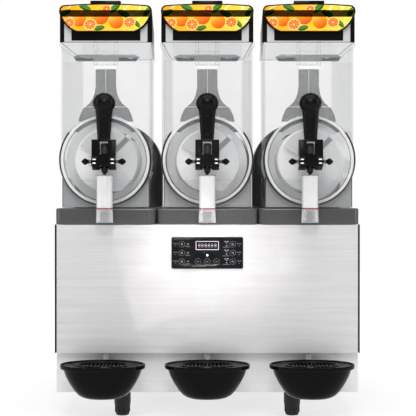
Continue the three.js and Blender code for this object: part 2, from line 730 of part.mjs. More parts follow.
// An oval cup with a rolled rim, hooked on the lower panel by a bracket at its back.
function dripTray() {
  const bottom = trayRimZ - trayHeight;
  const under = trayRimZ - trayRimBand;
  const rimWall = 4;
  const oval = (profile) => toSolid(turned(profile, fineSides)
    .scale(1, trayHalfDepth / trayHalfWidth, 1).translate(0, trayY, 0));
  const side = [[0.44, 0], [0.57, 0.11], [0.67, 0.26], [0.785, 0.52], [0.87, 0.76], [0.93, 1]].map(([width, rise]) =>
    [trayHalfWidth * width, bottom + (under - bottom) * rise]);
  const rim = [[trayHalfWidth, under], [trayHalfWidth, trayRimZ]];
  const cup = oval([[0, bottom], ...side, ...rim, [0, trayRimZ]]);
  const room = oval([[0, bottom + trayWall],
    ...side.map(([radius, height]) => [radius - trayWall, height + trayWall]),
    [trayHalfWidth - rimWall, under + gridLedge], [trayHalfWidth - rimWall, trayRimZ + 1],
    [0, trayRimZ + 1]]);
  const bracketTop = under - 5;
  const bracket = box(-26, 26, trayY, lowerPanelY - gap, bracketTop - 16, bracketTop);
  return cut(join(cup, bracket), room);
}

function dripGrid() {
  const halfX = trayHalfWidth - 6;
  const ratio = trayHalfDepth / trayHalfWidth;
  const halfY = halfX * ratio - 1.5;
  const bottom = trayRimZ - trayRimBand + gridLedge + gap;
  const plateShape = new THREE.Shape();
  plateShape.absellipse(0, trayY, halfX, halfY, 0, 2 * Math.PI, false, 0);
  const plate = slabZ(plateShape, bottom, bottom + gridThickness, fineSides / 2);
  const ringShape = new THREE.Shape();
  ringShape.absellipse(0, trayY, halfX * 0.66, halfY * 0.66, 0, 2 * Math.PI, false, 0);
  const ringHole = new THREE.Path();
  ringHole.absellipse(0, trayY, halfX * 0.62, halfY * 0.6, 0, 2 * Math.PI, true, 0);
  ringShape.holes.push(ringHole);
  const ring = slabZ(ringShape, bottom + 1, bottom + gridThickness + 1.5, 9);
  const slots = [];
  for (let i = -2; i <= 2; i += 1) {
    const reach = halfY * 0.52 * Math.sqrt(1 - (i / 3) ** 2);
    slots.push(box(i * 15 - gridSlot / 2, i * 15 + gridSlot / 2, trayY - reach, trayY + reach,
      bottom - 1, bottom + gridThickness + 1));
  }
  const notch = rodZ(9, bottom - 1, bottom + 6, 0, trayY + halfY - 2, 10);
  return cut(join(plate, ring), notch, ...slots);
}

// ---------------------------------------------------------------- assembly

const machine = new THREE.Group();
machine.add(
  piece('base_pan', basePan(), finishes.steel),
  piece('front_panel', frontPanel(), finishes.steel),
  piece('casing', casing(), finishes.steel),
  piece('top_plate', topPlate(), finishes.galvanised),
  piece('compressor', compressor(), finishes.gloss),
  piece('condenser', condenser(), finishes.galvanised),
  piece('fan', fan(), finishes.satin),
  piece('control_panel', controlPanel(), finishes.gloss),
);
for (const [name, x, y] of [
  ['foot_front_left', -footX, faceY + footInset],
  ['foot_front_right', footX, faceY + footInset],
  ['foot_rear_left', -footX, backY - footInset],
  ['foot_rear_right', footX, backY - footInset],
]) {
  const mesh = piece(name, foot(), finishes.rubber);
  mesh.position.set(x, y, 0);
  machine.add(mesh);
}
for (const [name, x, z] of buttonPlaces) {
  machine.add(piece(name, button(x, z), finishes.satin));
}
['left', 'middle', 'right'].forEach((side, i) => {
  const station = new THREE.Group();
  station.position.x = (i - 1) * bowlPitch;
  station.add(
    piece(`deck_${side}`, deck(), finishes.satin),
    piece(`rear_cover_${side}`, rearCover(), finishes.gloss),
    piece(`drum_${side}`, drum(), finishes.steel),
    piece(`gear_motor_${side}`, gearMotor(), finishes.galvanised),
    piece(`auger_${side}`, auger(), finishes.white),
    piece(`bowl_${side}`, bowl(), finishes.clear),
    piece(`tap_pin_${side}`, tapPin(), finishes.gloss),
    piece(`tap_piston_${side}`, tapPiston(), finishes.white),
    piece(`tap_handle_${side}`, tapHandle(), finishes.gloss),
    piece(`lid_${side}`, lid(), finishes.gloss),
    piece(`lid_lens_${side}`, lidLens(), finishes.print),
    piece(`drip_tray_${side}`, dripTray(), finishes.gloss),
    piece(`drip_grid_${side}`, dripGrid(), finishes.gloss),
  );
  machine.add(station);
});

export default machine;
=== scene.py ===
# Three-bowl slush machine: looks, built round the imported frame. Metres, front faces -Y.
import json
import math
import bmesh
import bpy
from mathutils import Matrix, Vector

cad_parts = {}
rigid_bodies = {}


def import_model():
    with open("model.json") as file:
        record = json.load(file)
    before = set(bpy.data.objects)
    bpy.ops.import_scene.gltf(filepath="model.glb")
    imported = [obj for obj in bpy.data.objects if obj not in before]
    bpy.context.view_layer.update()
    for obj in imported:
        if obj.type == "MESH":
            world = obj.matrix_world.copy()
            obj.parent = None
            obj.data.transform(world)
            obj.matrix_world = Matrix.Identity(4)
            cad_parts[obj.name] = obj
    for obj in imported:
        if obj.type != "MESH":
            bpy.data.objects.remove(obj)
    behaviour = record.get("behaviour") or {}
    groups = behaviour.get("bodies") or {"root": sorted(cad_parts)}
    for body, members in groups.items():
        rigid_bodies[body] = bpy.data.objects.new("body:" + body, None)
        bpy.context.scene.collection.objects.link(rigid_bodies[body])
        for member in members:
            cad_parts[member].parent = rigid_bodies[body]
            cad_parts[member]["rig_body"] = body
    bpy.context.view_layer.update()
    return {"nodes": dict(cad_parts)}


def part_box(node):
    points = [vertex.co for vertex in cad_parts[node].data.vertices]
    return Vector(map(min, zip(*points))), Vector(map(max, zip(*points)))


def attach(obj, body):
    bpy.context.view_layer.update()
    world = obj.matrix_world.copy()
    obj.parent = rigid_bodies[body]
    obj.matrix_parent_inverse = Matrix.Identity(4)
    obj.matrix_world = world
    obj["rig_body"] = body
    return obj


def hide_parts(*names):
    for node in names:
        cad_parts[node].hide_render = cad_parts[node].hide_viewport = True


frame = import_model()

nodes = frame["nodes"]
mm = 0.001
sides = ("left", "middle", "right")
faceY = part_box("front_panel")[0].y
stationX = {side: (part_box("drum_" + side)[0].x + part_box("drum_" + side)[1].x) / 2 for side in sides}
axisZ = (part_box("drum_left")[0].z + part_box("drum_left")[1].z) / 2
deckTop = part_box("deck_left")[1].z
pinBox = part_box("tap_pin_middle")
pivotY, pivotZ = (pinBox[0].y + pinBox[1].y) / 2, (pinBox[0].z + pinBox[1].z) / 2
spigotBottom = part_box("bowl_left")[0].z
hopperY = faceY + 7 * mm  # front wall of the bowls, and of the lids over them
noseY = faceY - 8 * mm
tapY = faceY - 21 * mm  # axis of the tap tubes


# ---- camera, light and floor

view = {"distance": 2.2, "eyeHeight": 0.45, "frameWidth": 0.818, "sensor": 36.0, "shiftX": 0.0017,
        "shiftY": -0.0433}
cameraData = bpy.data.cameras.new("camera")
cameraData.sensor_width = view["sensor"]
cameraData.lens = view["sensor"] * view["distance"] / view["frameWidth"]
cameraData.shift_x = view["shiftX"]
cameraData.shift_y = view["shiftY"]
camera = bpy.data.objects.new("camera", cameraData)
camera.location = (0, faceY - view["distance"], view["eyeHeight"])
camera.rotation_euler = (math.pi / 2, 0, 0)
bpy.context.scene.collection.objects.link(camera)
bpy.context.scene.camera = camera

lamps = {  # place, size, watts, spread in degrees, aimed at this height
    "overhead": ((0, -0.9, 2.5), (2.6, 1.8), 31, 180, 0.45),
    "left_softbox": ((-1.9, -0.7, 1.2), (0.28, 1.8), 10, 180, 0.45),
    "right_softbox": ((1.9, -0.7, 1.2), (0.28, 1.8), 9, 180, 0.45),
    "front_fill": ((0, -3.0, 2.3), (1.0, 1.0), 36, 180, 0.45),
    "front_grid": ((0, -3.0, 1.75), (0.12, 0.12), 0.13, 6, 0.25),
    "back_light": ((0, 1.9, 2.6), (2.4, 1.4), 24, 180, 0.45),
}
for lampName, (place, size, watts, spread, aim) in lamps.items():
    lampData = bpy.data.lights.new(lampName, "AREA")
    lampData.shape = "RECTANGLE"
    lampData.size, lampData.size_y = size
    lampData.energy = watts
    lampData.spread = math.radians(spread)
    lamp = bpy.data.objects.new(lampName, lampData)
    lamp.location = place
    lamp.rotation_euler = (Vector((0, 0, aim)) - Vector(place)).to_track_quat("-Z", "Y").to_euler()
    bpy.context.scene.collection.objects.link(lamp)

bpy.context.scene.view_settings.view_transform = "Standard"
world = bpy.data.worlds.new("studio")
bpy.context.scene.world = world
world.use_nodes = True
backdrop = {"seen": 1.0, "lighting": 0.5}
worldTree = world.node_tree
worldShade = worldTree.nodes["Background"]
rays = worldTree.nodes.new("ShaderNodeLightPath")
level = worldTree.nodes.new("ShaderNodeMapRange")
level.inputs["To Min"].default_value = backdrop["lighting"]
level.inputs["To Max"].default_value = backdrop["seen"]
worldTree.links.new(rays.outputs["Is Camera Ray"], level.inputs["Value"])
worldTree.links.new(level.outputs[0], worldShade.inputs["Strength"])
worldShade.inputs["Color"].default_value = (1, 1, 1, 1)
print("stage: camera, lamps and backdrop")


# ---- shader helpers

class Signal:
    def __init__(self, graph, socket):
        self.graph, self.socket = graph, socket

    def maths(self, operation, *others):
        values = dict(enumerate((self, *others)))
        return self.graph.node("ShaderNodeMath", {"operation": operation}, values)

    def __add__(self, other):
        return self.maths("ADD", other)

    def __sub__(self, other):
        return self.maths("SUBTRACT", other)

    def __rsub__(self, other):
        return self.graph.node("ShaderNodeMath", {"operation": "SUBTRACT"}, {0: other, 1: self})

    def __mul__(self, other):
        return self.maths("MULTIPLY", other)

    def __truediv__(self, other):
        return self.maths("DIVIDE", other)

    def __pow__(self, other):
        return self.maths("POWER", other)

    __radd__ = __add__
    __rmul__ = __mul__


class Graph:
    def __init__(self, name):
        self.material = bpy.data.materials.new(name)
        self.material.use_nodes = True
        self.tree = self.material.node_tree
        self.tree.nodes.clear()
        self.end = self.tree.nodes.new("ShaderNodeOutputMaterial")

    def put(self, socket, value):
        if isinstance(value, Signal):
            self.tree.links.new(value.socket, socket)
        elif isinstance(value, (tuple, list)) and len(value) == 3 and len(socket.default_value) == 4:
            socket.default_value = (*value, 1)
        else:
            socket.default_value = value

    def node(self, kind, settings=None, values=None, out=0):
        made = self.tree.nodes.new(kind)
        for key, value in (settings or {}).items():
            if key == "stops":
                while len(made.color_ramp.elements) < len(value):
                    made.color_ramp.elements.new(0.5)
                for element, (place, color) in zip(made.color_ramp.elements, value):
                    element.position, element.color = place, (*color, 1)
            else:
                setattr(made, key, value)
        for key, value in (values or {}).items():
            self.put(made.inputs[key], value)
        return Signal(self, made.outputs[out])

    def place(self, offset=(0, 0, 0), scale=(1, 1, 1), turn=(0, 0, 0)):
        coords = self.node("ShaderNodeTexCoord", out="Object")
        return self.node("ShaderNodeMapping", {"vector_type": "POINT"},
                         {"Vector": coords, "Location": offset, "Scale": scale, "Rotation": turn})

    def parts(self, vector):
        split = self.tree.nodes.new("ShaderNodeSeparateXYZ")
        self.put(split.inputs[0], vector)
        return [Signal(self, socket) for socket in split.outputs]

    def noise(self, vector, scale, detail=3, roughness=0.5):
        return self.node("ShaderNodeTexNoise", None,
                         {"Vector": vector, "Scale": scale, "Detail": detail, "Roughness": roughness})

    def spread(self, value, low, high, toLow=0.0, toHigh=1.0, smooth=False):
        style = "SMOOTHSTEP" if smooth else "LINEAR"
        return self.node("ShaderNodeMapRange", {"interpolation_type": style, "clamp": True},
                         {"Value": value, "From Min": low, "From Max": high, "To Min": toLow,
                          "To Max": toHigh})

    def blend(self, factor, first, second):
        made = self.tree.nodes.new("ShaderNodeMix")
        made.data_type = "RGBA"
        self.put(made.inputs[0], factor)
        self.put(made.inputs[6], first)
        self.put(made.inputs[7], second)
        return Signal(self, made.outputs[2])

    def bump(self, height, strength, distance):
        return self.node("ShaderNodeBump", None, {"Height": height, "Strength": strength,
                                                  "Distance": distance})

    def shader(self, values):
        made = self.tree.nodes.new("ShaderNodeBsdfPrincipled")
        for key, value in values.items():
            self.put(made.inputs[key], value)
        self.tree.links.new(made.outputs[0], self.end.inputs[0])
        return self.material


# ---- materials

def brushedSteel(name, tone=0.74, along="x", grain=1.0, metal=0.55, glow=0.0):
    graph = Graph(name)
    stretch = {"x": (11, 30, 640), "y": (30, 11, 640), "z": (640, 640, 11)}[along]
    broad = {"x": (5, 8, 120), "y": (8, 5, 120), "z": (120, 120, 5)}[along]
    lines = graph.noise(graph.place(scale=stretch), 1.0, 4, 0.62)
    bands = graph.noise(graph.place(scale=broad), 1.0, 2)
    smudge = graph.noise(graph.place(), 3.1, 2)
    wide = graph.spread(smudge, 0.3, 0.7, -0.03, 0.03)
    light = graph.spread(lines * 0.6 + bands * 0.4, 0.3, 0.7, tone - 0.06 * grain, tone + 0.06 * grain) + wide
    color = graph.blend(light, (0, 0, 0), (1.0, 1.0, 1.005))
    rough = graph.spread(lines * 0.7 + smudge * 0.3, 0.25, 0.75, 0.36, 0.50)
    return graph.shader({"Base Color": color, "Metallic": metal, "Roughness": rough, "Emission Color": color,
                         "Emission Strength": glow, "Normal": graph.bump(lines, 0.10 * grain, 0.0006)})


def mouldedPlastic(name, color, rough, gloss=0.4, grain=0.04, size=900, wear=0.25, glow=0.0):
    graph = Graph(name)
    fine = graph.noise(graph.place(), size, 2)
    cloud = graph.noise(graph.place(), 9, 3)
    shade = graph.spread(cloud, 0.3, 0.7, 0.0, wear)
    lighter = tuple(min(1.0, channel * 1.35 + 0.004) for channel in color)
    tint = graph.blend(shade, color, lighter)
    return graph.shader({"Base Color": tint, "Specular IOR Level": gloss, "Emission Color": tint,
                         "Emission Strength": glow, "Normal": graph.bump(fine, grain, 0.0004),
                         "Roughness": graph.spread(cloud * 0.6 + fine * 0.4, 0.3, 0.7, rough * 0.82,
                                                   rough * 1.2)})


# Clear plastic is nearly empty seen square on, and grey where the eye looks along a wall.
def clearPlastic(name, edge, least, most, power, face):
    graph = Graph(name)
    facing = graph.node("ShaderNodeLayerWeight", None, {"Blend": 0.5}, "Facing")
    haze = graph.noise(graph.place(), 14, 3)
    body = facing ** power
    alpha = graph.spread(body, 0, 1, least, most) + graph.spread(haze, 0.4, 0.75, 0.0, 0.03)
    color = graph.blend(graph.spread(body, 0.0, 0.7), face, edge)
    return graph.shader({"Base Color": color, "Alpha": alpha, "Specular IOR Level": 0.7,
                         "Roughness": graph.spread(haze, 0.3, 0.7, 0.02, 0.07), "IOR": 1.49})


# Lid artwork: a yellow to lime ground with oranges, cut slices, leaves and splashes.
def fruitPrint(name, centreX, centreZ):
    graph = Graph(name)
    x, _, z = graph.parts(graph.place(offset=(-centreX, 0, -centreZ), scale=(1, 1, 1)))
    wave = graph.noise(graph.place(), 22, 3) - 0.5
    ground = graph.node("ShaderNodeValToRGB", {"stops": [
        (0.0, (0.86, 0.32, 0.008)), (0.35, (0.88, 0.42, 0.012)), (0.68, (0.86, 0.52, 0.03)),
        (1.0, (0.66, 0.60, 0.08)),
    ]}, {"Fac": graph.spread(x + wave * 0.05, -0.092, 0.092)})

    def distance(cx, cz, stretchX=1.0, stretchZ=1.0, turn=0.0):
        across = (x - cx) * math.cos(turn) + (z - cz) * math.sin(turn)
        up = (z - cz) * math.cos(turn) - (x - cx) * math.sin(turn)
        across, up = across / stretchX, up / stretchZ
        return (across * across + up * up).maths("SQRT"), across, up

    def inside(length, radius, soft=0.0006):
        return graph.spread(length, radius - soft, radius + soft, 1.0, 0.0)

    color = ground
    splashes = [(-0.060, 0.014, 0.011), (0.052, 0.016, 0.012), (0.010, 0.020, 0.008), (-0.022, -0.012, 0.009),
                (0.076, -0.004, 0.008)]
    for cx, cz, radius in splashes:
        length, _, _ = distance(cx, cz, 1.7, 1.0, 0.4)
        edge = length + wave * 0.02
        ring = inside(edge, radius) * (1 - inside(edge, radius * 0.74))
        color = graph.blend(ring * 0.5, color, (1.0, 0.86, 0.48))

    leaves = [(-0.078, 0.010, 0.5, 0.013), (-0.040, 0.020, -0.4, 0.014), (0.018, 0.019, 0.7, 0.015),
              (0.036, 0.008, -0.5, 0.015), (0.081, 0.011, 1.0, 0.012), (-0.012, -0.020, 0.2, 0.012),
              (0.062, -0.012, -0.9, 0.010)]
    for cx, cz, turn, size in leaves:
        length, across, up = distance(cx, cz, 1.0, 0.42, turn)
        blade = inside(length + across.maths("ABSOLUTE") * 0.12, size)
        rib = inside(up.maths("ABSOLUTE"), 0.0009, 0.0005) * 0.6
        green = graph.blend(rib + graph.spread(up, -0.004, 0.012) * 0.35, (0.012, 0.10, 0.012),
                            (0.20, 0.42, 0.05))
        color = graph.blend(blade, color, green)

    fruits = [(-0.010, 0.003, 0.0165), (0.021, -0.007, 0.0145), (-0.052, -0.004, 0.0135)]
    for cx, cz, radius in fruits:
        length, across, up = distance(cx, cz)
        peel = graph.noise(graph.place(), 620, 1)
        shade = graph.spread(up - across * 0.5 + (peel - 0.5) * 0.006, -radius, radius)
        skin = graph.node("ShaderNodeValToRGB", {"stops": [
            (0.0, (0.60, 0.07, 0.002)), (0.55, (0.92, 0.22, 0.006)), (1.0, (0.98, 0.44, 0.05)),
        ]}, {"Fac": shade})
        color = graph.blend(inside(length, radius), color, skin)

    slices = [(-0.030, -0.013, 0.0130), (0.047, -0.009, 0.0125), (-0.071, -0.010, 0.0115),
              (0.002, 0.017, 0.0095)]
    for cx, cz, radius in slices:
        length, across, up = distance(cx, cz, 1.0, 0.86, 0.3)
        angle = up.maths("ARCTAN2", across)
        wedge = (angle * 4.5).maths("SINE").maths("ABSOLUTE")
        flesh = graph.blend(graph.spread(wedge + wave * 0.3, 0.10, 0.26), (1.0, 0.66, 0.24),
                            (0.90, 0.13, 0.006))
        flesh = graph.blend(inside(length, radius * 0.12), flesh, (1.0, 0.85, 0.5))
        flesh = graph.blend(inside(length, radius * 0.84), (1.0, 0.74, 0.32), flesh)
        flesh = graph.blend(inside(length, radius * 0.93), (0.98, 0.36, 0.01), flesh)
        color = graph.blend(inside(length, radius), color, flesh)

    return graph.shader({"Base Color": color, "Roughness": 0.22, "Specular IOR Level": 0.2,
                         "Coat Weight": 0.12, "Coat Roughness": 0.04,
                         "Emission Color": color, "Emission Strength": 0.05})


def glowing(name, color, strength):
    graph = Graph(name)
    grain = graph.noise(graph.place(), 1800, 1)
    dim = tuple(channel * 0.8 for channel in color)
    return graph.shader({"Base Color": graph.blend(grain, color, dim), "Roughness": 0.3,
                         "Emission Color": graph.blend(grain, color, dim), "Emission Strength": strength})


steel = brushedSteel("brushed_steel_front", 0.60, "x", 1.0, 0.5)
# brushed_steel_lower is lighter than the front steel: painted light that lifts the shade the drip trays cast
# on the lower panel.
lowerSteel = brushedSteel("brushed_steel_lower", 0.76, "x", 0.8, 0.3)
sideSteel = brushedSteel("brushed_steel_casing", 0.62, "y", 1.0, 0.6)
# drum_steel glows faintly: painted light that brightens the drum inside the bowl, standing in for light
# bounced round it.
drumSteel = brushedSteel("drum_steel", 0.74, "z", 0.4, 0.3, 0.14)
chrome = brushedSteel("chrome_trim", 0.86, "x", 0.3, 1.0)
zincSheet = mouldedPlastic("zinc_sheet", (0.42, 0.44, 0.45), 0.42, 0.5, 0.12, 60, 0.8)
glossBlack = mouldedPlastic("gloss_black", (0.002, 0.002, 0.0025), 0.14, 0.09, 0.02, 700, 0.5)
trayBlack = mouldedPlastic("tray_black", (0.0012, 0.0012, 0.0015), 0.13, 0.08, 0.02, 500, 0.5)
handleBlack = mouldedPlastic("handle_black", (0.0015, 0.0015, 0.002), 0.24, 0.11, 0.03, 800, 0.4)
satinBlack = mouldedPlastic("satin_black", (0.060, 0.060, 0.062), 0.13, 0.4, 0.02, 1100, 0.3)
coverBlack = mouldedPlastic("cover_black", (0.022, 0.022, 0.023), 0.28, 0.3, 0.06, 1100, 0.4)
keypadBlack = mouldedPlastic("keypad_black", (0.003, 0.003, 0.004), 0.3, 0.08, 0.01, 600, 0.3)
buttonBlack = mouldedPlastic("button_black", (0.004, 0.004, 0.005), 0.34, 0.1, 0.05, 1500, 0.4)
footRubber = mouldedPlastic("foot_rubber", (0.007, 0.007, 0.007), 0.42, 0.3, 0.12, 1300, 0.8)
sealRed = mouldedPlastic("seal_red", (0.62, 0.003, 0.006), 0.34, 0.3, 0.03, 1500, 0.3)
gasketGrey = mouldedPlastic("gasket_grey", (0.030, 0.030, 0.031), 0.5, 0.3, 0.05, 900, 0.3)
# auger_white and piston_white glow faintly: painted light that brightens the auger in the bowl and the piston
# in its tube, standing in for bounced light.
augerWhite = mouldedPlastic("auger_white", (0.50, 0.505, 0.51), 0.3, 0.4, 0.03, 700, 0.35, 0.16)
pistonWhite = mouldedPlastic("piston_white", (0.80, 0.81, 0.82), 0.22, 0.4, 0.02, 700, 0.3, 0.15)
stemBlack = mouldedPlastic("stem_black", (0.006, 0.006, 0.007), 0.26, 0.3, 0.03, 900, 0.3)
collarGrey = mouldedPlastic("collar_grey", (0.085, 0.085, 0.088), 0.34, 0.4, 0.03, 900, 0.3)
# A flat pale grey for the lid's lamp bar, and for the pale strips painted on the lid's lower front as
# reflections.
paleLidGrey = mouldedPlastic("pale_lid_grey", (0.44, 0.445, 0.45), 0.4, 0.3, 0.03, 900, 0.2)
# A pale grey painted on the drip trays' rim rings as their highlight.
rimHighlightPaint = mouldedPlastic("painted_rim_highlight", (0.30, 0.30, 0.305), 0.1, 0.5, 0.01, 500, 0.3)
printGrey = mouldedPlastic("print_grey", (0.085, 0.087, 0.09), 0.4, 0.3, 0.02, 900, 0.2)
printPale = mouldedPlastic("print_pale", (0.28, 0.285, 0.295), 0.4, 0.3, 0.02, 900, 0.2)
compressorPaint = mouldedPlastic("compressor_paint", (0.014, 0.014, 0.015), 0.28, 0.4, 0.15, 260, 0.5)
clearBowl = clearPlastic("clear_bowl", (0.48, 0.49, 0.50), 0.07, 0.36, 2.6, (0.53, 0.54, 0.55))
clearStep = clearPlastic("clear_step", (0.36, 0.37, 0.38), 0.16, 0.60, 2.0, (0.42, 0.43, 0.44))
clearNeck = clearPlastic("clear_neck", (0.14, 0.145, 0.15), 0.52, 0.92, 1.6, (0.125, 0.13, 0.135))
clearBlock = clearPlastic("clear_block", (0.20, 0.205, 0.21), 0.82, 0.96, 1.6, (0.30, 0.305, 0.31))
clearDark = clearPlastic("clear_dark", (0.03, 0.032, 0.034), 0.66, 0.95, 1.4, (0.05, 0.052, 0.055))
clearOutline = clearPlastic("clear_outline", (0.008, 0.008, 0.009), 0.95, 0.98, 1.2, (0.012, 0.012, 0.013))
clearTube = clearPlastic("clear_tube", (0.30, 0.31, 0.32), 0.25, 0.92, 1.6, (0.80, 0.81, 0.82))
# A near-white clear finish for the sleeve painted inside the tap tubes as their sheen.
tubeSheenPaint = clearPlastic("painted_tube_sheen", (0.94, 0.945, 0.95), 0.46, 0.80, 1.4, (1.0, 1.0, 1.0))
milkyTube = clearPlastic("milky_tube", (0.78, 0.79, 0.80), 0.42, 0.90, 1.4, (0.92, 0.93, 0.94))
mouthTube = clearPlastic("mouth_tube", (0.88, 0.885, 0.89), 0.14, 0.94, 1.3, (0.80, 0.81, 0.82))
lightBox = glowing("light_box", (0.74, 0.745, 0.75), 0.42)
ledBlue = glowing("led_blue", (0.22, 0.40, 1.0), 7.0)
digitPink = glowing("digit_pink", (1.0, 0.62, 0.56), 1.0)
digitDim = glowing("digit_dim", (0.26, 0.22, 0.30), 0.55)
print("materials made")


# ---- mesh helpers

def finishPiece(name, bm, body, material, replaced=(), smooth=35, mend=True):
    if mend:
        bmesh.ops.remove_doubles(bm, verts=bm.verts, dist=1e-6)
        bmesh.ops.recalc_face_normals(bm, faces=bm.faces)
    mesh = bpy.data.meshes.new(name)
    bm.to_mesh(mesh)
    bm.free()
    mesh.materials.append(material)
    for polygon in mesh.polygons:
        polygon.use_smooth = True
    mesh.set_sharp_from_angle(angle=math.radians(smooth))
    made = bpy.data.objects.new(name, mesh)
    bpy.context.scene.collection.objects.link(made)
    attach(made, body)
    if replaced:
        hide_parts(*replaced)
    return made


def addBlock(bm, low, high, bevel=0.0, segments=2):
    before = set(bm.verts)
    made = bmesh.ops.create_cube(bm, size=1.0)["verts"]
    low, high = Vector(low), Vector(high)
    bmesh.ops.scale(bm, vec=high - low, verts=made)
    bmesh.ops.translate(bm, vec=(low + high) / 2, verts=made)
    if bevel:
        roundEdges(bm, list({edge for vert in made for edge in vert.link_edges}), bevel, segments)
    return [vert for vert in bm.verts if vert not in before]


def roundEdges(bm, edges, offset, segments, **more):
    bmesh.ops.bevel(bm, geom=edges, offset=offset, segments=segments, profile=0.5, affect="EDGES",
                    material=-1, **more)


# The edges that lie at one level along an axis: 0 for X, 1 for Y, 2 for Z.
def edgesAt(bm, axis, level, near=1e-6):
    return [edge for edge in bm.edges if all(abs(vert.co[axis] - level) < near for vert in edge.verts)]


def sharpEdges(bm, degrees):
    return [edge for edge in bm.edges if len(edge.link_faces) == 2
            and edge.calc_face_angle(0) > math.radians(degrees)]


def vertsOf(parts):
    return [part for part in parts if isinstance(part, bmesh.types.BMVert)]


# Cuts a mesh along a plane, and drops what lies beyond it.
def cutAlong(bm, place, normal, drop=True):
    everything = list(bm.verts) + list(bm.edges) + list(bm.faces)
    bmesh.ops.bisect_plane(bm, geom=everything, dist=1e-6, plane_co=place, plane_no=normal, clear_outer=drop)


# The mesh of a CAD node, merged, with its flat faces joined.
def mergedCopy(node):
    bm = bmesh.new()
    bm.from_mesh(nodes[node].data)
    bmesh.ops.remove_doubles(bm, verts=bm.verts, dist=1e-5)
    bmesh.ops.dissolve_limit(bm, angle_limit=math.radians(1.0), verts=bm.verts, edges=bm.edges)
    return bm


# Turns a list of (radius, height) pairs about an axis through centre. The list starts and ends on the axis,
# or is closed on itself.
def addTurned(bm, profile, centre, axis="z", steps=48, closed=False, squeeze=None):
    turnTo = {"z": Matrix.Identity(3), "y": Matrix.Rotation(-math.pi / 2, 3, "X"),
              "x": Matrix.Rotation(math.pi / 2, 3, "Y")}
    points = [bm.verts.new((radius, 0, height)) for radius, height in profile]
    edges = [bm.edges.new(pair) for pair in zip(points, points[1:])]
    if closed:
        edges.append(bm.edges.new((points[-1], points[0])))
    before = set(bm.verts) - set(points)
    bmesh.ops.spin(bm, geom=points + edges, cent=(0, 0, 0), axis=(0, 0, 1), dvec=(0, 0, 0), angle=2 * math.pi,
                   steps=steps, use_merge=True, use_duplicate=False)
    made = [vert for vert in bm.verts if vert not in before]
    bmesh.ops.remove_doubles(bm, verts=made, dist=1e-6)
    made = [vert for vert in bm.verts if vert not in before]
    if squeeze:
        bmesh.ops.scale(bm, vec=squeeze, verts=made)
    bmesh.ops.rotate(bm, cent=(0, 0, 0), matrix=turnTo[axis], verts=made)
    bmesh.ops.translate(bm, vec=centre, verts=made)
    return made


# Turns one profile into a finished piece.
def turnedPiece(name, profile, centre, axis, steps, body, material, closed=True, replaced=(),
                smooth=35):
    bm = bmesh.new()
    addTurned(bm, profile, centre, axis, steps, closed)
    return finishPiece(name, bm, body, material, replaced, smooth)


# A ring of round section, such as a seal or a bead.
def addRing(bm, centre, radius, thickness, axis="z", steps=64, around=12, squeeze=None):
    profile = [(radius + thickness * math.cos(turn), thickness * math.sin(turn))
               for turn in (2 * math.pi * i / around for i in range(around))]
    return addTurned(bm, profile, centre, axis, steps, True, squeeze)


# A copy of a CAD node with its flat faces merged and its sharp edges rounded.
def refined(node, material, bevel=0.0008, segments=2, body=None, smooth=25):
    bm = mergedCopy(node)
    roundEdges(bm, sharpEdges(bm, 38), bevel, segments, clamp_overlap=True)
    bmesh.ops.triangulate(bm, faces=[face for face in bm.faces if len(face.verts) > 4])
    return finishPiece(node + "_finished", bm, body or nodes[node]["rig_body"], material, (node,),
                       smooth, False)


def repaint(node, material):
    nodes[node].data.materials.clear()
    nodes[node].data.materials.append(material)


# ---- base

frontSheet = {"bend": 3.2 * mm, "sheet": 1.2 * mm, "flange": 14 * mm}


def frontPanel():
    low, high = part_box("front_panel")
    bm = bmesh.new()
    addBlock(bm, (low.x, low.y, low.z), (high.x, low.y + frontSheet["flange"], high.z))
    back = [face for face in bm.faces if face.normal.y > 0.9]
    bmesh.ops.delete(bm, geom=back, context="FACES_ONLY")
    front = [edge for edge in edgesAt(bm, 1, low.y) if any(vert.co.z > low.z + 1e-6 for vert in edge.verts)]
    roundEdges(bm, front, frontSheet["bend"], 5)
    bmesh.ops.recalc_face_normals(bm, faces=bm.faces)
    bmesh.ops.solidify(bm, geom=list(bm.faces), thickness=frontSheet["sheet"])
    keepIn(bm, low, high)
    finishPiece("front_panel_finished", bm, "base", steel, ("front_panel",), 40)


# Keeps every point of a piece inside a box.
def keepIn(bm, low, high):
    for vert in bm.verts:
        vert.co = Vector([min(max(vert.co[i], low[i]), high[i]) for i in range(3)])


trim = {"wide": 2.4 * mm, "deep": 2.0 * mm}


# Black strips that cover the casing's front edges beside the front panel.
def edgeTrims():
    low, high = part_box("casing")
    panelLow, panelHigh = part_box("front_panel")
    bm = bmesh.new()
    for edge in (low.x, high.x - trim["wide"]):
        addBlock(bm, (edge, faceY, panelLow.z), (edge + trim["wide"], faceY + trim["deep"], panelHigh.z),
                 0.5 * mm)
    finishPiece("edge_trims", bm, "base", glossBlack)


screws = {"radius": 3.6 * mm, "dome": 1.5 * mm, "slot": 0.9 * mm}


# A domed screw head with a cross slot, its face towards the given side.
def addScrew(bm, place, out):
    radius, dome = screws["radius"], screws["dome"]
    arc = [(radius * math.sin(turn), dome * math.cos(turn))
           for turn in (math.pi / 2 * i / 5 for i in range(6))]
    made = addTurned(bm, [*arc, (0, 0)], (0, 0, 0), "z", 20)
    for size in ((radius * 0.6, screws["slot"] / 2), (screws["slot"] / 2, radius * 0.6)):
        made += addBlock(bm, (-size[0], -size[1], dome * 0.7), (size[0], size[1], dome * 1.04))
    turn = Vector(out).to_track_quat("Z", "Y").to_matrix()
    made = [vert for vert in made if vert.is_valid]
    bmesh.ops.rotate(bm, cent=(0, 0, 0), matrix=turn, verts=made)
    bmesh.ops.translate(bm, vec=place, verts=made)


def casingScrews():
    low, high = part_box("casing")
    backFace = high.y - 8 * mm
    bm = bmesh.new()
    for x in (low.x + 18 * mm, 0, high.x - 18 * mm):
        for z in (low.z + 14 * mm, high.z - 14 * mm):
            addScrew(bm, (x, backFace, z), (0, 1, 0))
    finishPiece("casing_screws", bm, "base", chrome)


footParts = {"ribs": 8, "rib": 1.6 * mm}


